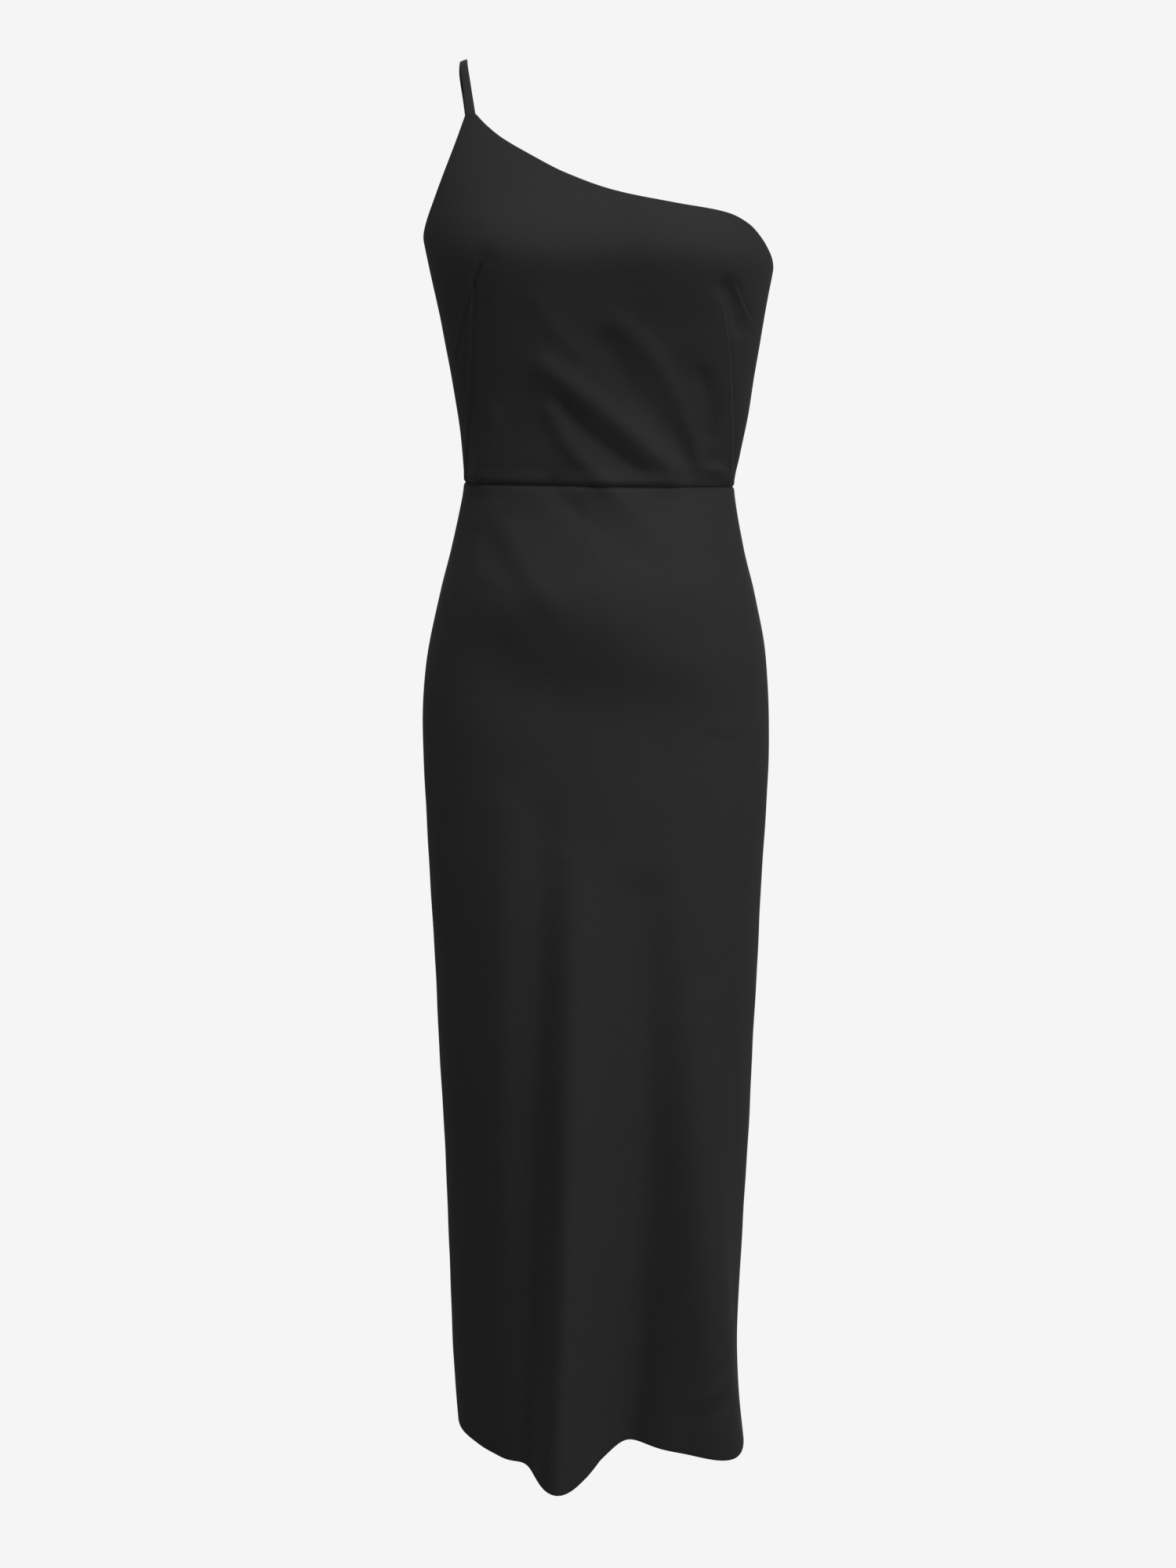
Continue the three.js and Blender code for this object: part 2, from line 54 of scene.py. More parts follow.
camera.rotation_euler = (CAMERA_AIM - CAMERA_PLACE).to_track_quat("-Z", "Y").to_euler()
bpy.context.scene.collection.objects.link(camera)
bpy.context.scene.camera = camera

# Bodice front: one panel of heavy crepe, shaped by a side dart and a long French dart on each side of the
# bust. Its top edges are turned in and its seam allowances are pressed open inside. Heights in the tables
# are from the waist seam, x from the middle of the dress, both in metres.
WAIST_SEAM = np.array((0.123, 0.0, -0.3802))
BACK_SQUARENESS = 2.3
LEFT_SEAM = 0.0
RIGHT_SEAM = math.pi
CENTRE_BACK = math.pi * 1.5
FULL_TURN = math.pi * 2
SIDE_FADE = 0.32
CLOTH_THICKNESS = 0.0009
LEFT_UNDERARM = 0.2174
ARMHOLE_HOLLOW = 0.12
STRAP_FRONT = {"outer": -0.7335, "inner": -0.678, "height": 0.325}
STRAP_BACK = {"outer": -0.768, "inner": -0.716, "height": 0.320}


def table(columns, *rows):
    """Rows of a table as dictionaries with the named columns."""
    return [dict(zip(columns.split(), row)) for row in rows]


# Sections through the worn dress: how far the cloth reaches to each side at a height, and how square its
# front half is (2 would be an ellipse).
SECTIONS = table(
    "height left right front back squareness",
    (0.345, 0.1608, 0.1620, 0.0770, 0.091, 3.1),
    (0.325, 0.1608, 0.1620, 0.0850, 0.093, 3.1),
    (0.290, 0.1608, 0.1620, 0.0990, 0.096, 3.1),
    (0.255, 0.1608, 0.1620, 0.1130, 0.097, 3.1),
    (0.225, 0.1603, 0.1620, 0.1245, 0.097, 3.1),
    (0.200, 0.1560, 0.1613, 0.1280, 0.097, 3.1),
    (0.170, 0.1495, 0.1562, 0.1200, 0.096, 3.1),
    (0.140, 0.1433, 0.1515, 0.1105, 0.094, 3.1),
    (0.100, 0.1358, 0.1454, 0.0985, 0.090, 3.1),
    (0.060, 0.1295, 0.1395, 0.0870, 0.088, 3.0),
    (0.025, 0.1262, 0.1326, 0.0785, 0.088, 2.9),
    (0.000, 0.1255, 0.1278, 0.0745, 0.088, 2.75),
    (-0.025, 0.1294, 0.1304, 0.0795, 0.091, 2.6),
    (-0.060, 0.1370, 0.1374, 0.0930, 0.098, 2.4),
    (-0.100, 0.1475, 0.1474, 0.1060, 0.109, 2.3),
    (-0.150, 0.1590, 0.1573, 0.1060, 0.122, 2.3),
    (-0.195, 0.1648, 0.1617, 0.1025, 0.129, 2.3),
    (-0.245, 0.1658, 0.1633, 0.1035, 0.128, 2.3),
    (-0.310, 0.1637, 0.1608, 0.1080, 0.121, 2.3),
    (-0.400, 0.1594, 0.1565, 0.1130, 0.114, 2.3),
    (-0.520, 0.1544, 0.1516, 0.1140, 0.110, 2.3),
    (-0.680, 0.1475, 0.1449, 0.1100, 0.108, 2.3),
    (-0.840, 0.1427, 0.1360, 0.1080, 0.108, 2.3),
    (-0.960, 0.1360, 0.1295, 0.1080, 0.108, 2.3),
)
FRONT_NECKLINE = table(
    "across height",
    (-0.678, 0.325), (-0.62, 0.315), (-0.53, 0.303), (-0.36, 0.2865), (-0.19, 0.272), (0.07, 0.2565),
    (0.41, 0.245), (0.70, 0.2370), (0.82, 0.2280), (0.90, 0.2160), (0.96, 0.2030), (1.0, 0.1920),
)
BACK_NECKLINE = table(
    "across height",
    (-0.716, 0.320), (-0.52, 0.298), (-0.25, 0.275), (0.0, 0.259), (0.35, 0.246), (0.7, 0.237),
    (0.88, 0.222), (0.96, 0.208), (1.0, 0.1920),
)
# A fold is a path in three points (x, height), with its width and rise at both ends.
FOLD_COLUMNS = "x1 z1 x2 z2 x3 z3 width1 width2 rise1 rise2"
FRONT_FOLDS = table(
    FOLD_COLUMNS,
    # The bust, filled out on both sides of the middle.
    (-0.084, 0.192, -0.076, 0.198, -0.068, 0.192, 0.046, 0.046, 0.005, 0.005),
    (0.070, 0.192, 0.078, 0.198, 0.086, 0.192, 0.046, 0.046, 0.005, 0.005),
    # The round of the belly.
    (0.026, -0.020, 0.018, -0.105, 0.010, -0.200, 0.072, 0.080, 0.0090, 0.0060),
    # The hollows under the bust.
    (0.074, 0.125, 0.084, 0.075, 0.090, 0.018, 0.030, 0.034, -0.0015, -0.0120),
    (-0.084, 0.080, -0.076, 0.070, -0.068, 0.060, 0.036, 0.036, -0.0030, -0.0030),
    # Drag folds that run down to the right over the midriff, and the hollows between them.
    (-0.046, 0.102, 0.0030, 0.0655, 0.066, 0.014, 0.013, 0.012, 0.0056, 0.0060),
    (-0.034, 0.074, -0.0050, 0.042, 0.038, 0.011, 0.0065, 0.0060, -0.0030, -0.0024),
    (-0.043, 0.064, -0.020, 0.026, 0.008, 0.004, 0.009, 0.009, 0.0032, 0.0040),
    (0.008, 0.123, 0.034, 0.082, 0.080, 0.027, 0.014, 0.012, -0.0030, -0.0022),
    (0.018, 0.140, 0.0605, 0.0955, 0.093, 0.023, 0.011, 0.009, 0.0026, 0.0032),
    (0.094, 0.0955, 0.104, 0.0735, 0.106, 0.047, 0.009, 0.009, -0.0028, -0.0026),
    (-0.093, 0.061, -0.1025, 0.032, -0.111, 0.007, 0.008, 0.008, 0.0020, 0.0026),
    # Cloth that rolls a little over the waist seam on the right.
    (0.080, 0.0110, 0.098, 0.0125, 0.113, 0.0115, 0.0060, 0.0060, 0.0010, 0.0036),
    # Drag folds below the waist seam, the shallow dip under the belly and the fullness beside the seam.
    (0.0035, 0.000, 0.0275, -0.021, 0.056, -0.052, 0.009, 0.011, 0.0034, 0.0014),
    (-0.044, 0.000, -0.0165, -0.0255, 0.028, -0.060, 0.010, 0.010, -0.0036, -0.0014),
    (-0.086, -0.0395, -0.069, -0.071, -0.044, -0.106, 0.011, 0.014, 0.0018, 0.0012),
    (-0.099, -0.050, -0.081, -0.085, -0.051, -0.127, 0.012, 0.015, -0.0022, -0.0012),
    (-0.058, -0.108, 0.019, -0.1345, 0.0975, -0.180, 0.030, 0.032, 0.0020, 0.0030),
    (-0.087, -0.164, -0.026, -0.196, 0.046, -0.226, 0.038, 0.046, -0.0070, -0.0030),
    (-0.104, -0.010, -0.060, -0.009, -0.014, -0.007, 0.013, 0.013, 0.0006, 0.0020),
    # Flutes that grow towards the hem.
    (-0.086, -0.300, -0.086, -0.560, -0.080, -0.970, 0.020, 0.020, 0.0030, 0.0080),
    (-0.050, -0.300, -0.053, -0.566, -0.066, -0.970, 0.013, 0.015, -0.0012, -0.0070),
    (-0.022, -0.350, -0.026, -0.640, -0.034, -0.970, 0.021, 0.029, 0.0030, 0.050),
    (0.042, -0.380, 0.049, -0.640, 0.030, -0.970, 0.024, 0.030, -0.0050, -0.029),
    (0.094, -0.480, 0.102, -0.740, 0.114, -0.970, 0.022, 0.021, 0.0020, 0.032),
)
BACK_FOLDS = table(
    FOLD_COLUMNS,
    # Shoulder blades and seat.
    (-0.072, 0.195, -0.068, 0.205, -0.064, 0.195, 0.045, 0.045, 0.003, 0.003),
    (0.064, 0.185, 0.068, 0.195, 0.072, 0.185, 0.045, 0.045, 0.003, 0.003),
    (-0.066, -0.190, -0.062, -0.180, -0.058, -0.190, 0.048, 0.048, 0.004, 0.004),
    (0.058, -0.190, 0.062, -0.180, 0.066, -0.190, 0.048, 0.048, 0.004, 0.004),
    # Drag folds over the small of the back and below the seam.
    (-0.104, 0.092, -0.068, 0.058, -0.024, 0.030, 0.011, 0.010, 0.0035, 0.0025),
    (-0.096, 0.062, -0.060, 0.034, -0.030, 0.014, 0.009, 0.008, -0.003, -0.002),
    (0.100, 0.084, 0.066, 0.046, 0.032, 0.022, 0.011, 0.009, 0.0035, 0.0025),
    (0.088, 0.118, 0.052, 0.086, 0.022, 0.066, 0.011, 0.009, -0.0025, -0.002),
    (-0.088, -0.024, -0.062, -0.050, -0.034, -0.092, 0.010, 0.011, -0.003, -0.002),
    (0.084, -0.020, 0.060, -0.044, 0.040, -0.076, 0.010, 0.010, 0.003, 0.002),
    # Flutes that grow towards the hem.
    (-0.084, -0.330, -0.080, -0.600, -0.076, -0.970, 0.022, 0.026, 0.001, 0.024),
    (-0.032, -0.420, -0.034, -0.660, -0.036, -0.970, 0.022, 0.022, -0.001, -0.014),
    (0.012, -0.450, 0.016, -0.700, 0.018, -0.970, 0.022, 0.022, 0.001, 0.012),
    (0.056, -0.400, 0.058, -0.650, 0.060, -0.970, 0.022, 0.022, -0.001, -0.012),
    (0.098, -0.360, 0.100, -0.620, 0.102, -0.970, 0.020, 0.022, 0.001, 0.018),
)
# Finer creases, too small for the solids: the sewn darts, and the soft drag lines round them.
FRONT_CREASES = table(
    FOLD_COLUMNS,
    # Side dart and French dart on the left, then on the right: each a pressed edge beside a narrow groove.
    (-0.1050, 0.1907, -0.1142, 0.1670, -0.1295, 0.1160, 0.0016, 0.0017, 0.0012, 0.0010),
    (-0.1030, 0.1897, -0.1122, 0.1660, -0.1275, 0.1150, 0.0020, 0.0016, -0.0030, -0.0006),
    (-0.1107, 0.1745, -0.1138, 0.1296, -0.1230, 0.0020, 0.0016, 0.0018, 0.0024, 0.0016),
    (-0.1087, 0.1740, -0.1117, 0.1294, -0.1210, 0.0020, 0.0017, 0.0017, -0.0018, -0.0012),
    (0.1210, 0.1730, 0.1267, 0.1616, 0.1340, 0.1480, 0.0015, 0.0016, 0.0008, 0.0009),
    (0.1230, 0.1745, 0.1288, 0.1630, 0.1362, 0.1494, 0.0016, 0.0016, -0.0010, -0.0008),
    (0.1059, 0.1690, 0.1189, 0.1057, 0.1262, 0.0020, 0.0015, 0.0016, 0.0007, 0.0009),
    (0.1080, 0.1690, 0.1210, 0.1057, 0.1283, 0.0020, 0.0016, 0.0016, -0.0009, -0.0008),
    # The hollows that the darts' points leave beside the bust, and a soft line under it.
    (0.112, 0.172, 0.119, 0.158, 0.125, 0.140, 0.008, 0.008, -0.0052, -0.0030),
    (-0.098, 0.196, -0.104, 0.180, -0.108, 0.160, 0.009, 0.009, -0.0022, -0.0016),
    (-0.055, 0.160, -0.0395, 0.138, -0.024, 0.119, 0.009, 0.010, 0.0010, 0.0018),
    # The waist seam, drawn in by its stitches.
    (-0.140, 0.0004, 0.000, -0.0018, 0.140, -0.0040, 0.0018, 0.0018, -0.0022, -0.0026),
    # The bodice's lowest edge, lifted a little by the seam allowances under it, and a tuck beside it.
    (-0.110, 0.0050, -0.080, 0.0048, -0.050, 0.0038, 0.0042, 0.0042, 0.0010, 0.0010),
    (-0.050, 0.0038, 0.005, 0.0038, 0.066, 0.0026, 0.0046, 0.0046, 0.0010, 0.0018),
    (-0.042, 0.0028, -0.0335, 0.0036, -0.023, 0.0014, 0.0020, 0.0024, -0.0014, -0.0010),
    (0.048, -0.0084, 0.066, -0.0098, 0.088, -0.0072, 0.0021, 0.0022, -0.0024, -0.0026),
    (0.088, -0.0006, 0.106, 0.0004, 0.122, -0.0016, 0.0026, 0.0034, -0.0010, -0.0030),
    # Small creases into the waist seam.
    (-0.121, -0.011, -0.106, -0.0123, -0.086, -0.008, 0.006, 0.006, -0.0014, -0.0012),
    (-0.111, -0.035, -0.104, -0.028, -0.097, -0.022, 0.005, 0.005, 0.0014, 0.0012),
    (-0.115, -0.0816, -0.1006, -0.0837, -0.0865, -0.0886, 0.005, 0.006, 0.0012, 0.0008),
    (-0.132, -0.057, -0.1287, -0.0766, -0.1254, -0.0956, 0.004, 0.005, 0.0012, 0.0010),
    (-0.0104, -0.022, -0.0069, -0.043, -0.0048, -0.0654, 0.004, 0.006, 0.0012, 0.0005),
    (0.104, -0.012, 0.112, -0.034, 0.118, -0.060, 0.005, 0.008, 0.0012, 0.0006),
    # Slight pulls across the hip, and creases over the hem's lobes.
    (0.099, -0.2215, 0.1155, -0.220, 0.130, -0.223, 0.004, 0.005, 0.0008, 0.0008),
    (0.108, -0.234, 0.120, -0.236, 0.134, -0.240, 0.004, 0.005, -0.0008, -0.0006),
    (0.110, -0.845, 0.100, -0.858, 0.086, -0.872, 0.005, 0.006, 0.0014, 0.0010),
    (0.118, -0.862, 0.106, -0.874, 0.090, -0.886, 0.005, 0.006, -0.0014, -0.0010),
    (0.120, -0.800, 0.114, -0.814, 0.104, -0.826, 0.004, 0.006, 0.0012, 0.0008),
    (-0.008, -0.780, -0.0065, -0.860, -0.006, -0.960, 0.004, 0.005, 0.0006, 0.0022),
    (0.0005, -0.800, 0.0015, -0.870, 0.002, -0.960, 0.005, 0.006, -0.0006, -0.0020),
    (-0.104, -0.760, -0.106, -0.840, -0.106, -0.960, 0.010, 0.012, 0.0006, 0.0026),
)
BACK_CREASES = table(
    FOLD_COLUMNS,
    # A waist dart in the skirt and one in the bodice on each side of the centre-back seam.
    (-0.062, -0.110, -0.060, -0.060, -0.058, -0.002, 0.0016, 0.0020, -0.0004, -0.0016),
    (0.064, -0.110, 0.062, -0.060, 0.060, -0.002, 0.0016, 0.0020, -0.0004, -0.0016),
    (-0.068, 0.150, -0.062, 0.080, -0.058, 0.002, 0.0016, 0.0020, -0.0004, -0.0016),
    (0.070, 0.150, 0.064, 0.080, 0.060, 0.002, 0.0016, 0.0020, -0.0004, -0.0016),
    # Small drag lines into the seams.
    (-0.098, 0.040, -0.082, 0.026, -0.064, 0.010, 0.005, 0.004, 0.0010, 0.0012),
    (0.104, 0.050, 0.090, 0.034, 0.078, 0.008, 0.005, 0.004, 0.0012, 0.0010),
    (0.020, 0.110, 0.012, 0.090, 0.004, 0.078, 0.005, 0.004, 0.0008, 0.0014),
    (-0.024, 0.066, -0.012, 0.050, -0.004, 0.040, 0.005, 0.004, 0.0008, 0.0014),
    (-0.012, -0.034, -0.030, -0.052, -0.056, -0.066, 0.006, 0.009, 0.0014, 0.0006),
    (0.014, -0.060, 0.032, -0.078, 0.056, -0.088, 0.006, 0.009, 0.0012, 0.0006),
    (-0.116, -0.250, -0.080, -0.268, -0.036, -0.272, 0.010, 0.014, 0.0014, 0.0006),
    (0.118, -0.262, 0.086, -0.284, 0.040, -0.290, 0.010, 0.014, 0.0014, 0.0006),
    (0.110, -0.300, 0.070, -0.316, 0.030, -0.318, 0.010, 0.014, -0.0012, -0.0005),
)


def smooth_curve(rows, position, value):
    """A curve through a table's rows: cubic pieces whose slope at a row comes from both neighbours."""
    x, y = np.array(sorted((row[position], row[value]) for row in rows)).T
    before, after = np.append(0, np.arange(len(x) - 1)), np.append(np.arange(1, len(x)), len(x) - 1)
    slope = (y[after] - y[before]) / (x[after] - x[before])

    def curve(place):
        at = np.clip(np.searchsorted(x, place) - 1, 0, len(x) - 2)
        span = x[at + 1] - x[at]
        t = np.clip((place - x[at]) / span, 0, 1)
        bend = slope[at] * span * t * (1 - t) ** 2 - slope[at + 1] * span * t * t * (1 - t)
        return y[at] + (y[at + 1] - y[at]) * t * t * (3 - 2 * t) + bend

    return curve


SECTION_COLUMNS = ("left", "right", "front", "back", "squareness")
reach = {column: smooth_curve(SECTIONS, "height", column) for column in SECTION_COLUMNS}
front_neckline = smooth_curve(FRONT_NECKLINE, "across", "height")
back_neckline = smooth_curve(BACK_NECKLINE, "across", "height")
# A fold's path is followed in this many steps, and counts out to this many widths from it.
FOLD_STEPS = 14
FOLD_REACH = 3.2


def fold_rise(folds, x, height):
    """How far a table of folds lifts the cloth at places on it: most along each path, fading sideways."""
    total = np.zeros_like(x)
    t = np.linspace(0, 1, FOLD_STEPS + 1)[:, None]
    for fold in folds:
        start, through, end = (np.array((fold[f"x{n}"], fold[f"z{n}"])) for n in (1, 2, 3))
        pull = 2 * through - (start + end) / 2
        path = start * (1 - t) ** 2 + pull * 2 * t * (1 - t) + end * t * t
        margin = FOLD_REACH * max(fold["width1"], fold["width2"])
        low, high = path.min(0) - margin, path.max(0) + margin
        near = (x > low[0]) & (x < high[0]) & (height > low[1]) & (height < high[1])
        places = np.stack((x[near], height[near]), -1)
        nearest = np.full(len(places), np.inf)
        share = np.zeros(len(places))
        for step in range(FOLD_STEPS):
            along = path[step + 1] - path[step]
            part = np.clip((places - path[step]) @ along / (along @ along), 0, 1)
            distance = np.hypot(*(places - path[step] - part[:, None] * along).T)
            closer = distance < nearest
            nearest = np.where(closer, distance, nearest)
            share = np.where(closer, (step + part) / FOLD_STEPS, share)
        width = fold["width1"] + (fold["width2"] - fold["width1"]) * share
        rise = fold["rise1"] + (fold["rise2"] - fold["rise1"]) * share
        total[near] += rise * np.exp(-((nearest / width) ** 2))
    return total


def signed_power(value, power):
    """A power of a value's size, with the value's own sign."""
    return np.sign(value) * np.abs(value) ** power


def across_at(angle):
    """How far across the form an angle lies: -1 at the left side seam and 1 at the right one."""
    return -signed_power(np.cos(angle), 2 / BACK_SQUARENESS)


def angle_at(across):
    """The angle, in the front half, of a place across the form."""
    return np.arccos(signed_power(-across, BACK_SQUARENESS / 2))


def worn_form(angle, height):
    """The smooth worn form and its outward direction, at angles round it from the left side seam by way
    of the front, and at heights."""
    half = (reach["left"](height) + reach["right"](height)) / 2
    middle = (reach["right"](height) - reach["left"](height)) / 2
    across = across_at(angle)
    is_front = np.sin(angle) >= 0
    square = np.where(is_front, reach["squareness"](height), BACK_SQUARENESS)
    depth = np.where(is_front, reach["front"](height), reach["back"](height))
    forward = np.where(is_front, 1, -1) * np.maximum(1 - np.abs(across) ** square, 0) ** (1 / square)
    outward = np.stack((
        signed_power(across, square - 1) / half,
        -signed_power(forward, square - 1) / depth,
        np.zeros_like(half),
    ), -1)
    outward /= np.linalg.norm(outward, axis=-1, keepdims=True)
    return np.stack((middle + half * across, -depth * forward, height + 0 * angle), -1), outward


def ease(value):
    """A smooth step from 0 to 1."""
    t = np.clip(value, 0, 1)
    return t * t * (3 - 2 * t)


LONG_RIPPLE = 0.00042
SHORT_RIPPLE = 0.00016


def ripple(x, height):
    """The slight unevenness of hanging cloth, a few tenths of a millimetre."""
    long_waves = np.sin(41 * x + 17 * height + 0.4) * np.sin(23 * height - 31 * x + 1.1)
    short_waves = np.sin(97 * x - 39 * height + 2.0) * np.sin(71 * height + 53 * x)
    return LONG_RIPPLE * long_waves + SHORT_RIPPLE * short_waves


def cloth_rise(angle, place, folds_and_creases):
    """How far the folds and creases of the front and the back lift the cloth. They fade at the side seams."""
    x, height = place[..., 0], place[..., 2]
    front_rows, back_rows = folds_and_creases
    forward = np.sin(angle)
    rise = np.where(
        forward >= 0, fold_rise(front_rows, x, height), fold_rise(back_rows, x, height),
    )
    return rise * ease(np.abs(forward) / SIDE_FADE)


BIG_FOLDS = (FRONT_FOLDS, BACK_FOLDS)
ALL_FOLDS = (FRONT_FOLDS + FRONT_CREASES, BACK_FOLDS + BACK_CREASES)


# Distance from an edge and depth below the outside, where the cloth turns round and comes on to its face.
ALLOWANCE_DEPTH = 0.0024
ALLOWANCE_SHARES = (1, 0.8, 0.55, 0.3)
EDGE_TURN = (
    (0.0020, ALLOWANCE_DEPTH), (0.0010, 0.0022), (0.0004, 0.0018), (0.0001, 0.0012), (0.0003, 0.0006),
    (0.0008, 0.0002), (0.0016, 0), (0.0036, 0), (0.0070, 0),
)


def turned_edge(allowance, roundness):
    """The profile of a turned-in edge: distances and depths from the allowance's raw edge to the face."""
    inside = [(allowance * share, ALLOWANCE_DEPTH * roundness) for share in ALLOWANCE_SHARES]
    turn = [(distance * roundness, depth * roundness) for distance, depth in EDGE_TURN]
    return np.array(inside + turn)


# Each kind of edge: how much cloth is turned in, and how round its turn is.
SIDE_EDGE = (0.012, 1.0)
ZIP_EDGE = (0.012, 0.55)
WAIST_SEAM_EDGE = (0.012, 1.9)
TOP_EDGE = (0.007, 0.6)
HEM_EDGE = (0.025, 0.9)
# A panel's even columns begin this far in from its seams.
SEAM_MARGIN = 0.011


def seam_angle(seam, distance, height):
    """The angle at a distance round the cloth from a side seam or the centre-back seam."""
    is_front = (distance >= 0) if seam == LEFT_SEAM else (distance < 0) & (seam == RIGHT_SEAM)
    if seam == CENTRE_BACK:
        half = (reach["left"](height) + reach["right"](height)) / 2
        turn = np.arcsin(np.clip(np.abs(distance) / half, 0, 1) ** (BACK_SQUARENESS / 2))
    else:
        depth = np.where(is_front, reach["front"](height), reach["back"](height))
        square = np.where(is_front, reach["squareness"](height), BACK_SQUARENESS)
        share = np.clip(np.abs(distance) / depth, 0, 1)
        turn = np.arccos((1 - share ** square) ** (BACK_SQUARENESS / 2 / square))
    return seam + np.sign(distance) * turn


# The heights of a panel's ends are found in rounds, from these first guesses.
TOP_GUESS = 0.2
BOTTOM_GUESS = -0.5
END_ROUNDS = 5


def panel_grid(seams, middle, bottom, top, middle_rows, edges):
    """The middle surface of a cut panel with its edges turned in: points in columns (from one seam to the
    other) and rows (from bottom to top). middle holds the shares of the way across for the columns away
    from the seams; bottom and top give the heights of its ends at given angles."""
    first_seam, last_seam = seams
    first, last, low, high = (turned_edge(*edges[side]) for side in ("first", "last", "bottom", "top"))
    columns = len(first) + len(middle) + len(last)

    def angles(height):
        """Each column's angle at heights given for all the columns."""
        start = seam_angle(first_seam, SEAM_MARGIN, height)
        end = seam_angle(last_seam, -SEAM_MARGIN, height)
        result = np.empty_like(height)
        for column, (distance, _) in enumerate(first):
            result[column] = seam_angle(first_seam, distance, height[column])
        for column, (distance, _) in enumerate(last):
            result[columns - 1 - column] = seam_angle(last_seam, -distance, height[columns - 1 - column])
        for offset, share in enumerate(middle):
            column = len(first) + offset
            result[column] = start[column] + share * (end[column] - start[column])
        return result

    top_heights = np.full((columns, 1), TOP_GUESS)
    bottom_heights = np.full((columns, 1), BOTTOM_GUESS)
    for _ in range(END_ROUNDS):
        top_heights = top(angles(top_heights))
        bottom_heights = bottom(angles(bottom_heights))
    shares = np.linspace(0, 1, middle_rows + 2)[1:-1]
    low_end, high_end = bottom_heights + low[-1][0], top_heights - high[-1][0]
    height = np.concatenate((
        bottom_heights + low[:, 0], low_end + shares * (high_end - low_end), top_heights - high[::-1, 0],
    ), axis=1)
    depth_across = np.concatenate((first[:, 1], np.zeros(len(middle)), last[::-1, 1]))
    depth_up = np.concatenate((low[:, 1], np.zeros(middle_rows), high[::-1, 1]))
    return angles(height), height, depth_across[:, None] + depth_up[None, :]


# Small steps round the form and up it, to find which way its surface faces.
FACING_TURN = 0.01
FACING_CLIMB = 0.001


def panel_surface(angle, height, depth):
    """Places of a panel's middle surface on the worn form, lifted by its folds and let in by depth."""
    place, outward = worn_form(angle, height)
    around = worn_form(angle + FACING_TURN, height)[0] - worn_form(angle - FACING_TURN, height)[0]
    upward = worn_form(angle, height + FACING_CLIMB)[0] - worn_form(angle, height - FACING_CLIMB)[0]
    facing = np.cross(around, upward)
    facing /= np.linalg.norm(facing, axis=-1, keepdims=True)
    rise = cloth_rise(angle, place, ALL_FOLDS) + ripple(place[..., 0] + place[..., 1], height)
    let_in = depth + CLOTH_THICKNESS / 2
    return place + outward * rise[..., None] - facing * let_in[..., None]


SMALLEST_LENGTH = 1e-12


def shell_mesh(name, middle, thickness):
    """A closed shell of one thickness round a grid of places on its middle surface, with a map of the
    cloth's own length across and up it."""
    across, up = np.gradient(middle, axis=0), np.gradient(middle, axis=1)
    facing = np.cross(across, up)
    facing /= np.maximum(np.linalg.norm(facing, axis=-1, keepdims=True), SMALLEST_LENGTH)
    columns, rows = middle.shape[:2]
    faces_out = middle + facing * thickness / 2 + WAIST_SEAM
    faces_in = middle - facing * thickness / 2 + WAIST_SEAM
    vertices = np.concatenate((faces_out.reshape(-1, 3), faces_in.reshape(-1, 3)))
    index = np.arange(columns * rows).reshape(columns, rows)
    under = index + columns * rows

    def quads(a, b, c, d):
        return np.stack((a, b, c, d), -1).reshape(-1, 4)

    faces = np.concatenate((
        quads(index[:-1, :-1], index[1:, :-1], index[1:, 1:], index[:-1, 1:]),
        quads(under[:-1, :-1], under[:-1, 1:], under[1:, 1:], under[1:, :-1]),
        quads(index[0, :-1], index[0, 1:], under[0, 1:], under[0, :-1]),
        quads(index[-1, :-1], under[-1, :-1], under[-1, 1:], index[-1, 1:]),
        quads(index[:-1, 0], under[:-1, 0], under[1:, 0], index[1:, 0]),
        quads(index[:-1, -1], index[1:, -1], under[1:, -1], under[:-1, -1]),
    ))
    mesh = bpy.data.meshes.new(name)
    mesh.from_pydata(vertices.tolist(), [], faces.tolist())
    length_across = np.linalg.norm(np.diff(middle[:, rows // 2], axis=0), axis=-1)
    length_up = np.linalg.norm(np.diff(middle[columns // 2], axis=0), axis=-1)
    u = np.append(0, np.cumsum(length_across))[:, None] + np.zeros((1, rows))
    v = np.append(0, np.cumsum(length_up))[None, :] + np.zeros((columns, 1))
    lengths = np.tile(np.stack((u, v), -1).reshape(-1, 2), (2, 1))
    corners = np.empty(len(mesh.loops), dtype=np.int32)
    mesh.loops.foreach_get("vertex_index", corners)
    cloth_map = mesh.uv_layers.new(name="cloth")
    cloth_map.data.foreach_set("uv", lengths[corners].ravel())
    mesh.polygons.foreach_set("use_smooth", [True] * len(mesh.polygons))
    return mesh


def add_piece(name, mesh, material):
    """A visible piece of the dress, with its material and slot."""
    piece = bpy.data.objects.new(name, mesh)
    mesh.materials.append(material)
    bpy.context.scene.collection.objects.link(piece)
    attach(piece, "dress")
    return piece


def new_material(name, colour, roughness):
    """A material of one colour and roughness, and its shader."""
    material = bpy.data.materials.new(name)
    material.use_nodes = True
    shader = material.node_tree.nodes["Principled BSDF"]
    shader.inputs["Base Color"].default_value = colour
    shader.inputs["Roughness"].default_value = roughness
    return material, shader


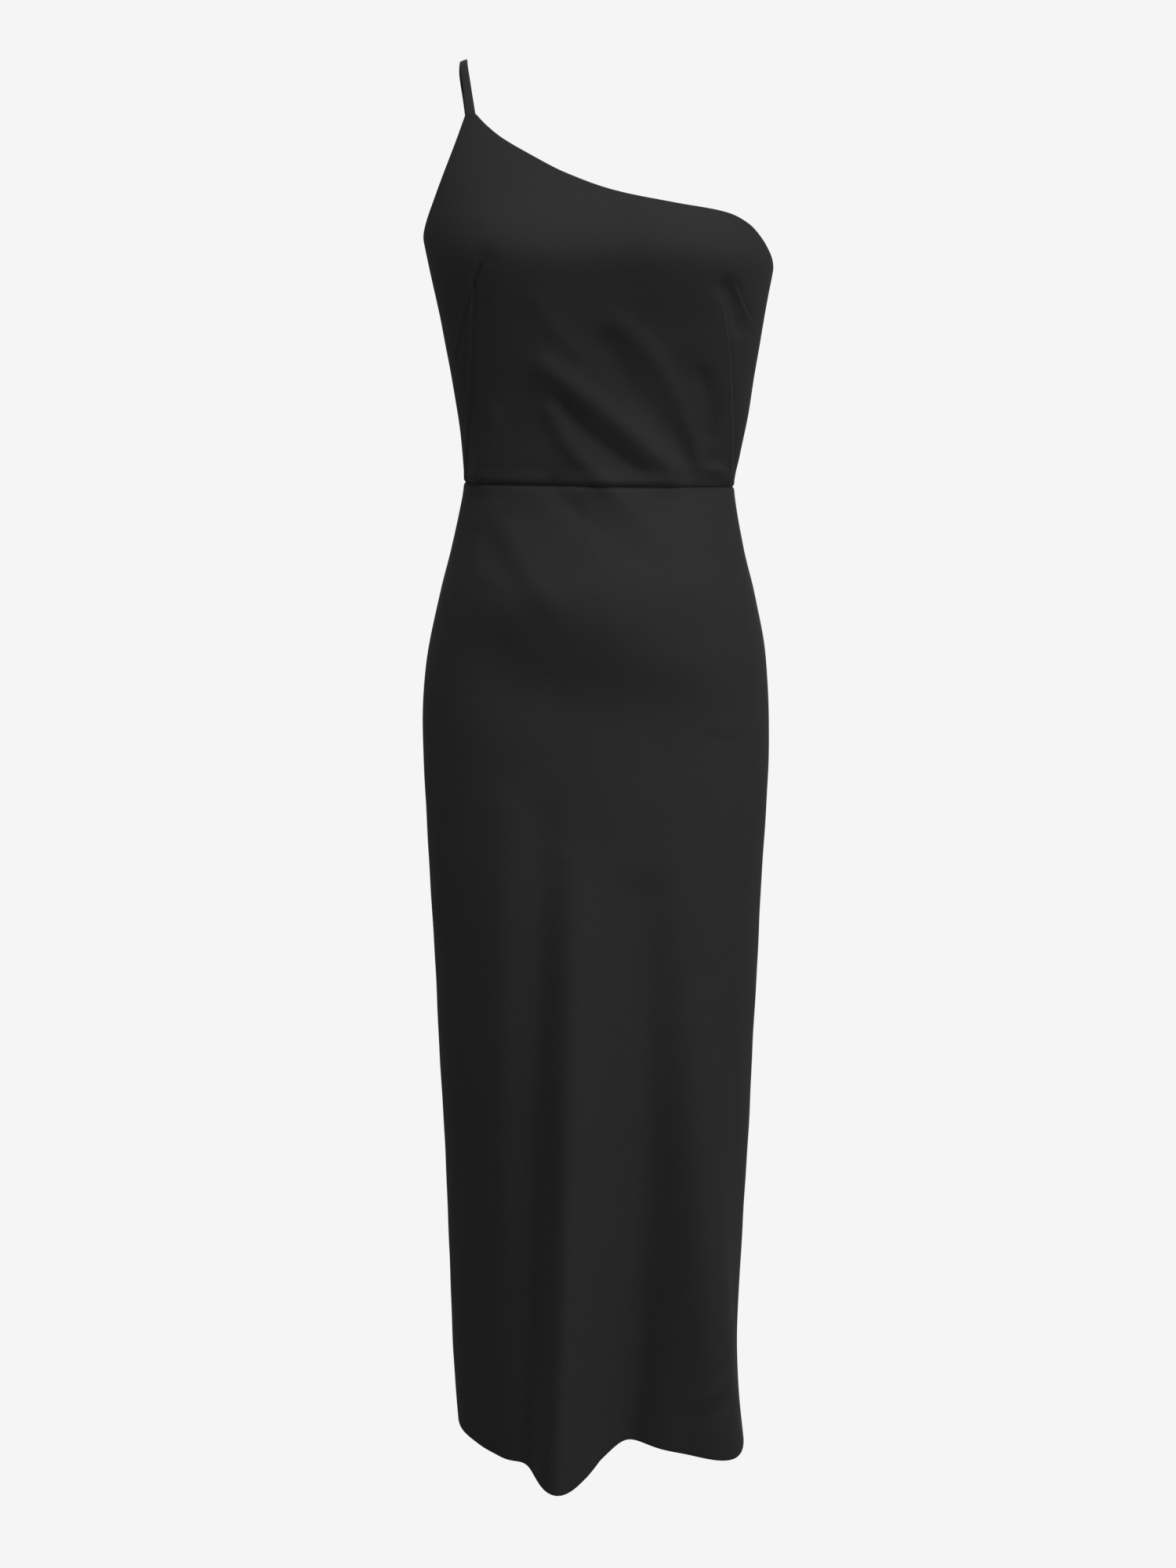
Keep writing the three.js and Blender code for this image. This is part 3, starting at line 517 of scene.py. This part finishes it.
# The cloth: a dense crepe with a matt face. Its fine pebbled grain and the faint diagonal twist of its yarn
# break the light up softly, and its shade is a little uneven.
CREPE_COLOUR = (0.0118, 0.0118, 0.0124, 1)
CREPE_LIGHTER_COLOUR = (0.0150, 0.0150, 0.0156, 1)
CREPE_ROUGHNESS = 0.82
CREPE_SPECULAR = 0.20
CREPE_SHEEN = 0.03
CREPE_SHEEN_ROUGHNESS = 0.45
PEBBLE_SCALE = 1500.0
PEBBLE_STRETCH = (1.0, 0.45, 1.0)
PEBBLE_DETAIL = 3.0
TWIST_SCALE = 520.0
TWIST_DISTORTION = 3.0
TWIST_SHARE = 0.35
GRAIN_STRENGTH = 0.35
GRAIN_HEIGHT = 0.00018
SHADE_SCALE = 260.0
SHADE_DETAIL = 2.0
crepe, shader = new_material("black_crepe", CREPE_COLOUR, CREPE_ROUGHNESS)
nodes, links = crepe.node_tree.nodes, crepe.node_tree.links
shader.inputs["Specular IOR Level"].default_value = CREPE_SPECULAR
shader.inputs["Sheen Weight"].default_value = CREPE_SHEEN
shader.inputs["Sheen Roughness"].default_value = CREPE_SHEEN_ROUGHNESS
cloth_lengths = nodes.new("ShaderNodeUVMap")
cloth_lengths.uv_map = "cloth"
grain_stretch = nodes.new("ShaderNodeMapping")
grain_stretch.inputs["Scale"].default_value = PEBBLE_STRETCH
pebble = nodes.new("ShaderNodeTexNoise")
pebble.inputs["Scale"].default_value = PEBBLE_SCALE
pebble.inputs["Detail"].default_value = PEBBLE_DETAIL
twist = nodes.new("ShaderNodeTexWave")
twist.bands_direction = "DIAGONAL"
twist.inputs["Scale"].default_value = TWIST_SCALE
twist.inputs["Distortion"].default_value = TWIST_DISTORTION
height_sum = nodes.new("ShaderNodeMath")
height_sum.operation = "MULTIPLY_ADD"
height_sum.inputs[1].default_value = TWIST_SHARE
bump = nodes.new("ShaderNodeBump")
bump.inputs["Strength"].default_value = GRAIN_STRENGTH
bump.inputs["Distance"].default_value = GRAIN_HEIGHT
shade = nodes.new("ShaderNodeTexNoise")
shade.inputs["Scale"].default_value = SHADE_SCALE
shade.inputs["Detail"].default_value = SHADE_DETAIL
tint = nodes.new("ShaderNodeMix")
tint.data_type = "RGBA"
tint.inputs["A"].default_value = CREPE_COLOUR
tint.inputs["B"].default_value = CREPE_LIGHTER_COLOUR
links.new(cloth_lengths.outputs["UV"], grain_stretch.inputs["Vector"])
links.new(grain_stretch.outputs["Vector"], pebble.inputs["Vector"])
links.new(cloth_lengths.outputs["UV"], twist.inputs["Vector"])
links.new(twist.outputs["Fac"], height_sum.inputs[0])
links.new(pebble.outputs["Fac"], height_sum.inputs[2])
links.new(height_sum.outputs["Value"], bump.inputs["Height"])
links.new(bump.outputs["Normal"], shader.inputs["Normal"])
links.new(cloth_lengths.outputs["UV"], shade.inputs["Vector"])
links.new(shade.outputs["Fac"], tint.inputs["Factor"])
links.new(tint.outputs["Result"], shader.inputs["Base Color"])

WAIST_EDGE = -0.0018
WAIST_TILT = 0.0022
BODICE_EDGES = {"first": SIDE_EDGE, "last": SIDE_EDGE, "bottom": WAIST_SEAM_EDGE, "top": TOP_EDGE}


def top_line(angle):
    """The bodice's top edge: the slightly hollowed armhole, the strap's seam, then the neckline."""
    across = across_at(angle)
    is_front = np.sin(angle) >= 0
    outer = np.where(is_front, STRAP_FRONT["outer"], STRAP_BACK["outer"])
    strap_height = np.where(is_front, STRAP_FRONT["height"], STRAP_BACK["height"])
    share = (across + 1) / (outer + 1)
    share -= ARMHOLE_HOLLOW * share * (1 - share)
    armhole = LEFT_UNDERARM + (strap_height - LEFT_UNDERARM) * share
    neckline = np.where(is_front, front_neckline(across), back_neckline(across))
    return np.where(across <= outer, armhole, neckline)


def waist_line(angle):
    """The waist seam: level all round but for a slight drop towards the picture's right."""
    return WAIST_EDGE - WAIST_TILT * across_at(angle)


def dense_shares(spans):
    """Shares of the way across a panel, from spans given as (start, end, how many steps)."""
    steps = [np.linspace(start, end, count, endpoint=False) for start, end, count in spans]
    return np.concatenate([*steps, [1.0]])


def shares_through(shares, angles, seams, height):
    """The shares with the nearest one moved so that a column passes through each angle at a height."""
    start = seam_angle(seams[0], SEAM_MARGIN, height)
    end = seam_angle(seams[1], -SEAM_MARGIN, height)
    for angle in angles:
        wanted = (angle - start) / (end - start)
        shares[np.abs(shares - wanted).argmin()] = wanted
    return shares


# The front's columns stand closest where the darts are.
FRONT_SPANS = ((0, 0.06, 9), (0.06, 0.29, 112), (0.29, 0.71, 62), (0.71, 0.94, 112), (0.94, 1, 9))
BODICE_FRONT_ROWS = 104
strap_front_angles = [angle_at(STRAP_FRONT[side]) for side in ("outer", "inner")]
front_shares = shares_through(
    dense_shares(FRONT_SPANS), strap_front_angles, (LEFT_SEAM, RIGHT_SEAM), STRAP_FRONT["height"],
)
bodice_front = add_piece(
    "bodice_front_cloth",
    shell_mesh("bodice_front_cloth", panel_surface(*panel_grid(
        (LEFT_SEAM, RIGHT_SEAM), front_shares, waist_line, top_line, BODICE_FRONT_ROWS, BODICE_EDGES,
    )), CLOTH_THICKNESS),
    crepe,
)
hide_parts("bodice_front")

# Bodice back: two panels, parted at the centre back by the zip and shaped by one waist dart each. The left
# one carries the back end of the strap.
BODICE_BACK_COLUMNS = {"left": 110, "right": 100}
BODICE_BACK_ROWS = 84
# Each panel's flat size across and up, and its area.
BODICE_BACK_CUTS = {"left": ((0.25, 0.345), 0.065), "right": ((0.25, 0.285), 0.056)}
strap_back_angles = [FULL_TURN - angle_at(STRAP_BACK[side]) for side in ("outer", "inner")]
back_shares = {side: dense_shares([(0, 1, columns)]) for side, columns in BODICE_BACK_COLUMNS.items()}
shares_through(back_shares["left"], strap_back_angles, (CENTRE_BACK, FULL_TURN), STRAP_BACK["height"])
back_seams = {"left": (CENTRE_BACK, FULL_TURN), "right": (RIGHT_SEAM, CENTRE_BACK)}
zip_side = {"left": {"first": ZIP_EDGE}, "right": {"last": ZIP_EDGE}}
for side, (cut_size, cut_area) in BODICE_BACK_CUTS.items():
    name = f"bodice_back_{side}"
    piece = add_piece(
        f"{name}_cloth",
        shell_mesh(f"{name}_cloth", panel_surface(*panel_grid(
            back_seams[side], back_shares[side], waist_line, top_line, BODICE_BACK_ROWS,
            {**BODICE_EDGES, **zip_side[side]},
        )), CLOTH_THICKNESS),
        crepe,
    )
    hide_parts(name)

# Skirt: a long front panel and two back ones, cut straight over the hips and let out below the knee, where
# the spare width falls into flutes. The hem is turned up once and blind-stitched.
HEM_HEIGHT = -0.922
HEM_DIP = 0.3
SKIRT_ROWS = 190
SKIRT_EDGES = {"first": SIDE_EDGE, "last": SIDE_EDGE, "bottom": HEM_EDGE, "top": WAIST_SEAM_EDGE}


def hem_line(angle):
    """The hem: level, but a little lower where a flute stands out."""
    place = worn_form(angle, np.full_like(angle, HEM_HEIGHT))[0]
    return HEM_HEIGHT - HEM_DIP * cloth_rise(angle, place, BIG_FOLDS)


SKIRT_PANELS = table(
    "name seams zip columns width area",
    ("skirt_front", (LEFT_SEAM, RIGHT_SEAM), {}, 118, 0.52, 0.45),
    ("skirt_back_left", (CENTRE_BACK, FULL_TURN), zip_side["left"], 62, 0.27, 0.235),
    ("skirt_back_right", (RIGHT_SEAM, CENTRE_BACK), zip_side["right"], 62, 0.27, 0.235),
)
for cut in SKIRT_PANELS:
    piece = add_piece(
        f"{cut['name']}_cloth",
        shell_mesh(f"{cut['name']}_cloth", panel_surface(*panel_grid(
            cut["seams"], dense_shares([(0, 1, cut["columns"])]), hem_line, waist_line, SKIRT_ROWS,
            {**SKIRT_EDGES, **cut["zip"]},
        )), CLOTH_THICKNESS),
        crepe,
    )
    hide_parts(cut["name"])

# Strap: a narrow tube of the same crepe, cut double, turned through and pressed flat. Its ends are caught
# inside the turned top edge of the bodice's corners.
STRAP_THICKNESS = 0.0018
STRAP_FRONT_TUCK = (0.00041, 0.00158, -0.010)
STRAP_BACK_TUCK = (0.0, -0.0016, -0.010)
STRAP_STEPS = 90
STRAP_SIDES = 20
# How square the strap's cut end is, sideways and through its thickness (2 would be an ellipse).
STRAP_SQUARENESS = {"across": 5, "up": 2.6}
# The cloth's length from one point of the strap's mesh to the next, round it and along it.
STRAP_MAP_STEPS = {"around": 0.001, "along": 0.0022}


def strap_end(angles, height):
    """The middle of a strap's seam on the bodice, and half its width as a direction."""
    outer, inner = (worn_form(np.array(angle), np.array(height))[0] for angle in angles)
    return (outer + inner) / 2, (inner - outer) / 2


front_end, front_side = strap_end(strap_front_angles, STRAP_FRONT["height"])
back_end, back_side = strap_end(strap_back_angles, STRAP_BACK["height"])
# The strap's middle and its half width as a direction, from inside the front to inside the back.
strap_path = [
    (front_end + STRAP_FRONT_TUCK, front_side),
    (front_end, front_side),
    ((-0.1170, -0.0505, 0.349), (0.0038, -0.001, 0.0003)),
    ((-0.1208, -0.028, 0.371), (0.0035, -0.0004, 0.0009)),
    ((-0.1230, 0.0, 0.382), (0.0034, 0, 0.0013)),
    ((-0.1250, 0.032, 0.374), (0.0035, 0.0004, 0.001)),
    ((-0.1222, 0.058, 0.350), (0.0038, 0.001, 0.0003)),
    (back_end, back_side),
    (back_end + STRAP_BACK_TUCK, back_side),
]
path_places = np.array([middle for middle, _ in strap_path], dtype=float)
path_sides = np.array([side for _, side in strap_path], dtype=float)
path_gaps = np.sqrt(np.linalg.norm(np.diff(path_places, axis=0), axis=1))
path_knots = np.append(0, np.cumsum(path_gaps))
stations = np.linspace(0, path_knots[-1], STRAP_STEPS)
strap_rows = np.column_stack((path_knots, path_places, path_sides))
strap_lines = np.stack([smooth_curve(strap_rows, 0, column)(stations) for column in range(1, 7)], -1)
strap_middle, strap_half = strap_lines[:, :3], strap_lines[:, 3:]
strap_along = np.gradient(strap_middle, axis=0)
strap_up = np.cross(strap_half, strap_along)
strap_up /= np.linalg.norm(strap_up, axis=1, keepdims=True)
ring = np.linspace(0, FULL_TURN, STRAP_SIDES, endpoint=False)
ring_across = signed_power(np.cos(ring), 2 / STRAP_SQUARENESS["across"])
ring_up = signed_power(np.sin(ring), 2 / STRAP_SQUARENESS["up"])
strap_places = (
    strap_middle[:, None] + ring_across[None, :, None] * strap_half[:, None]
    + (ring_up[None, :, None] - 1) * strap_up[:, None] * STRAP_THICKNESS / 2
) + WAIST_SEAM
strap_index = np.arange(STRAP_STEPS * STRAP_SIDES).reshape(STRAP_STEPS, STRAP_SIDES)
next_side = np.roll(strap_index, -1, axis=1)
strap_faces = np.stack((
    strap_index[:-1], strap_index[1:], next_side[1:], next_side[:-1],
), -1).reshape(-1, 4).tolist()
strap_faces += [strap_index[0].tolist(), strap_index[-1][::-1].tolist()]
strap_mesh = bpy.data.meshes.new("strap_cloth")
strap_mesh.from_pydata(strap_places.reshape(-1, 3).tolist(), [], strap_faces)
strap_mesh.polygons.foreach_set("use_smooth", [True] * len(strap_mesh.polygons))
strap_map = strap_mesh.uv_layers.new(name="cloth")
for corner in strap_mesh.loops:
    step, around = divmod(corner.vertex_index, STRAP_SIDES)
    strap_map.data[corner.index].uv = (around * STRAP_MAP_STEPS["around"], step * STRAP_MAP_STEPS["along"])
strap = add_piece("strap_cloth", strap_mesh, crepe)
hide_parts("strap")

# Hem stitches: blind ones of black thread inside, where the hem's turned allowance is caught to the skirt.
# The first one's angle, their height above the hem and their depth under the outside place them, and the
# slant is how far each runs round the hem, in radians, and up it.
HEM_STITCHES = 150
HEM_STITCH_START = 0.01
HEM_STITCH_HEIGHT = 0.0242
HEM_STITCH_DEPTH = 0.0019
HEM_STITCH_SLANT = {"turn": 0.004, "climb": 0.0006}
STITCH = {"half_length": 0.0014, "half_width": 0.00022, "half_height": 0.00022}
THREAD_COLOUR = (0.010, 0.010, 0.010, 1)
THREAD_ROUGHNESS = 0.55
# A bar's rings: their places along half its length, and their size.
BAR_RINGS = ((-1.0, 0.35), (-0.85, 0.85), (-0.5, 1.0), (0.5, 1.0), (0.85, 0.85), (1.0, 0.35))
BAR_SIDES = 6


def bar_shape(half_length, half_width, half_height):
    """A small rounded bar along Y, drawn in at both ends."""
    turns = np.linspace(0, FULL_TURN, BAR_SIDES, endpoint=False)
    vertices = np.array([
        (half_width * size * np.cos(turn), half_length * along, half_height * size * np.sin(turn))
        for along, size in BAR_RINGS for turn in turns
    ])
    rings = np.arange(len(vertices)).reshape(len(BAR_RINGS), BAR_SIDES)
    following = np.roll(rings, -1, axis=1)
    faces = np.stack((rings[:-1], rings[1:], following[1:], following[:-1]), -1).reshape(-1, 4)
    return vertices, [*faces.tolist(), rings[0].tolist(), rings[-1][::-1].tolist()]


def repeated_mesh(name, shape, places, along, outward):
    """Copies of a small shape joined in one mesh: at places, its Y along one direction and Z outward."""
    along = along / np.linalg.norm(along, axis=1, keepdims=True)
    across = np.cross(along, outward)
    across /= np.linalg.norm(across, axis=1, keepdims=True)
    turned = np.stack((across, along, np.cross(across, along)), -1)
    vertices, faces = shape
    spread = places[:, None] + np.einsum("nij,vj->nvi", turned, vertices) + WAIST_SEAM
    all_faces = [
        [copy * len(vertices) + corner for corner in face]
        for copy in range(len(places)) for face in faces
    ]
    mesh = bpy.data.meshes.new(name)
    mesh.from_pydata(spread.reshape(-1, 3).tolist(), [], all_faces)
    mesh.polygons.foreach_set("use_smooth", [True] * len(mesh.polygons))
    return mesh


thread, _ = new_material("black_thread", THREAD_COLOUR, THREAD_ROUGHNESS)
stitch_angles = np.linspace(0, FULL_TURN, HEM_STITCHES, endpoint=False) + HEM_STITCH_START
stitch_heights = hem_line(stitch_angles) + HEM_STITCH_HEIGHT
stitch_depths = np.full(HEM_STITCHES, HEM_STITCH_DEPTH)
stitch_places = panel_surface(stitch_angles, stitch_heights, stitch_depths)
stitch_ends = panel_surface(
    stitch_angles + HEM_STITCH_SLANT["turn"], stitch_heights + HEM_STITCH_SLANT["climb"], stitch_depths,
)
add_piece(
    "hem_stitches",
    repeated_mesh(
        "hem_stitches", bar_shape(**STITCH), stitch_places, stitch_ends - stitch_places,
        worn_form(stitch_angles, stitch_heights)[1],
    ),
    thread,
)

# Zip: a concealed one in the centre-back seam. Its coil and woven tapes lie inside, sewn to the seam's
# allowances; only the lacquered slider and pull tab show outside, at the top.
ZIP_BOTTOM = -0.158
ZIP_TOP = 0.243
COIL_PITCH = 0.0013
COIL_TILT = 0.12
COIL = {"half_length": 0.0015, "half_width": 0.00042, "half_height": 0.00085}
COIL_DEPTH = 0.0035
NYLON_COLOUR = (0.010, 0.010, 0.010, 1)
NYLON_ROUGHNESS = 0.60
TAPE_DEPTH = 0.0029
TAPE_STITCH_PITCH = 0.0034
TAPE_STITCH_SIDE = 0.0062
TAPE_STITCH_TOP_GAP = 0.004
TAPE_COLOUR = (0.009, 0.009, 0.009, 1)
TAPE_ROUGHNESS = 0.75
WEAVE_SCALE = 560.0
WEAVE_STRENGTH = 0.4
WEAVE_HEIGHT = 0.0002
LACQUER_COLOUR = (0.010, 0.010, 0.010, 1)
LACQUER_ROUGHNESS = 0.30
LACQUER_COAT = 0.4
EDGE_ROUNDING = 0.00016
ROUNDING_SEGMENTS = 3
SHARPEST_SMOOTH_ANGLE = 40
MERGE_DISTANCE = 0.000001


def seam_places(heights, side, depth):
    """Places beside the centre-back seam, at a distance sideways and a depth below the outside."""
    angle = seam_angle(CENTRE_BACK, side, heights)
    place, outward = worn_form(angle, heights)
    rise = cloth_rise(angle, place, BIG_FOLDS)
    return place + outward * (rise - depth)[..., None], outward


coil_heights = np.arange(ZIP_BOTTOM, ZIP_TOP, COIL_PITCH)
coil_places, coil_outward = seam_places(coil_heights, np.zeros_like(coil_heights), COIL_DEPTH)
coil_along = np.tile((1.0, 0.0, COIL_TILT), (len(coil_heights), 1))
coil_along[1::2, 2] = -COIL_TILT
nylon, _ = new_material("black_nylon", NYLON_COLOUR, NYLON_ROUGHNESS)
add_piece(
    "zip_coil",
    repeated_mesh("zip_coil", bar_shape(**COIL), coil_places, coil_along, coil_outward), nylon,
)
stitch_heights = np.arange(ZIP_BOTTOM, ZIP_TOP - TAPE_STITCH_TOP_GAP, TAPE_STITCH_PITCH)
for name, side in (("zip_stitches_left", TAPE_STITCH_SIDE), ("zip_stitches_right", -TAPE_STITCH_SIDE)):
    places, outward = seam_places(stitch_heights, np.full_like(stitch_heights, side), TAPE_DEPTH)
    stitches = repeated_mesh(name, bar_shape(**STITCH), places, np.gradient(places, axis=0), outward)
    add_piece(name, stitches, thread)

tape, shader = new_material("zip_tape_weave", TAPE_COLOUR, TAPE_ROUGHNESS)
nodes, links = tape.node_tree.nodes, tape.node_tree.links
weave_place = nodes.new("ShaderNodeTexCoord")
weave = nodes.new("ShaderNodeTexWave")
weave.bands_direction = "Z"
weave.inputs["Scale"].default_value = WEAVE_SCALE
weave_bump = nodes.new("ShaderNodeBump")
weave_bump.inputs["Strength"].default_value = WEAVE_STRENGTH
weave_bump.inputs["Distance"].default_value = WEAVE_HEIGHT
links.new(weave_place.outputs["Object"], weave.inputs["Vector"])
links.new(weave.outputs["Fac"], weave_bump.inputs["Height"])
links.new(weave_bump.outputs["Normal"], shader.inputs["Normal"])
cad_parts["zip_tape"].data.materials.clear()
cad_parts["zip_tape"].data.materials.append(tape)

# The slider and its tab are copies of the solids, with their points merged so that the edges can be rounded.
lacquer, shader = new_material("black_lacquer", LACQUER_COLOUR, LACQUER_ROUGHNESS)
shader.inputs["Coat Weight"].default_value = LACQUER_COAT
for node, body in (("zip_slider", "dress"), ("zip_pull", "pull_tab")):
    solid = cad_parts[node]
    metal = bpy.data.objects.new(f"{node}_metal", solid.data.copy())
    bpy.context.scene.collection.objects.link(metal)
    metal.data.transform(solid.matrix_world)
    merged = bmesh.new()
    merged.from_mesh(metal.data)
    bmesh.ops.remove_doubles(merged, verts=merged.verts, dist=MERGE_DISTANCE)
    merged.to_mesh(metal.data)
    merged.free()
    metal.data.materials.clear()
    metal.data.materials.append(lacquer)
    rounding = metal.modifiers.new("rounded_edges", "BEVEL")
    rounding.width = EDGE_ROUNDING
    rounding.segments = ROUNDING_SEGMENTS
    rounding.angle_limit = math.radians(SHARPEST_SMOOTH_ANGLE)
    rounded = bpy.data.meshes.new_from_object(metal.evaluated_get(bpy.context.evaluated_depsgraph_get()))
    metal.modifiers.clear()
    metal.data = rounded
    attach(metal, body)
    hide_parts(node)

# Studio: a plain pale floor and surround, a large soft key light on the right and another overhead, both in
# front of the dress, weak fills from in front, low down and from the left, and a light behind for the views
# of the back. The floor glows evenly and the backdrop is for the camera alone, so neither lights the dress.
PALE = 0.913
SURROUND = 0.13
FLOOR_HEIGHT = -1.445
FLOOR_RADIUS = 14.0
FLOOR_SIDES = 64
floor_mesh = bpy.data.meshes.new("floor")
rim = [
    (FLOOR_RADIUS * math.cos(turn), FLOOR_RADIUS * math.sin(turn), FLOOR_HEIGHT)
    for turn in np.linspace(0, FULL_TURN, FLOOR_SIDES, endpoint=False)
]
floor_mesh.from_pydata(rim, [], [list(range(len(rim)))])
floor = bpy.data.objects.new("floor", floor_mesh)
floor_finish = bpy.data.materials.new("pale_floor")
floor_finish.use_nodes = True
floor_nodes = floor_finish.node_tree.nodes
floor_nodes.clear()
floor_glow = floor_nodes.new("ShaderNodeEmission")
floor_glow.inputs["Color"].default_value = (PALE, PALE, PALE, 1)
floor_out = floor_nodes.new("ShaderNodeOutputMaterial")
floor_finish.node_tree.links.new(floor_glow.outputs["Emission"], floor_out.inputs["Surface"])
floor_mesh.materials.append(floor_finish)
floor.visible_diffuse = False
floor.visible_glossy = False
bpy.context.scene.collection.objects.link(floor)

world = bpy.data.worlds.new("studio")
bpy.context.scene.world = world
world.use_nodes = True
world_nodes, world_links = world.node_tree.nodes, world.node_tree.links
surround = world_nodes["Background"]
surround.inputs["Color"].default_value = (SURROUND, SURROUND, SURROUND, 1)
backdrop = world_nodes.new("ShaderNodeBackground")
backdrop.inputs["Color"].default_value = (PALE, PALE, PALE, 1)
ray = world_nodes.new("ShaderNodeLightPath")
choose = world_nodes.new("ShaderNodeMixShader")
world_links.new(ray.outputs["Is Camera Ray"], choose.inputs["Fac"])
world_links.new(surround.outputs["Background"], choose.inputs[1])
world_links.new(backdrop.outputs["Background"], choose.inputs[2])
world_links.new(choose.outputs["Shader"], world_nodes["World Output"].inputs["Surface"])

LIGHT_AIM = Vector((0.12, 0.0, -0.62))
LIGHTS = table(
    "name place size power",
    ("key", (2.50, -1.20, -0.10), 1.9, 38.0),
    ("overhead", (0.52, -1.11, 1.92), 1.6, 60.0),
    ("fill", (-0.36, -2.69, -0.45), 1.6, 12.5),
    ("low_fill", (0.35, -1.60, -1.30), 0.9, 5.5),
    ("left_fill", (-2.45, -0.95, 0.10), 1.6, 2.6),
    ("bust_fill", (-0.95, -0.75, 0.16), 0.5, 1.9),
    ("back", (0.30, 2.70, 1.00), 1.6, 50.0),
)
for row in LIGHTS:
    light_data = bpy.data.lights.new(row["name"], "AREA")
    light_data.shape = "SQUARE"
    light_data.size = row["size"]
    light_data.energy = row["power"]
    light = bpy.data.objects.new(row["name"], light_data)
    light.location = row["place"]
    light.rotation_euler = (LIGHT_AIM - Vector(row["place"])).to_track_quat("-Z", "Y").to_euler()
    light.visible_camera = False
    bpy.context.scene.collection.objects.link(light)
bpy.context.scene.view_settings.view_transform = "Standard"
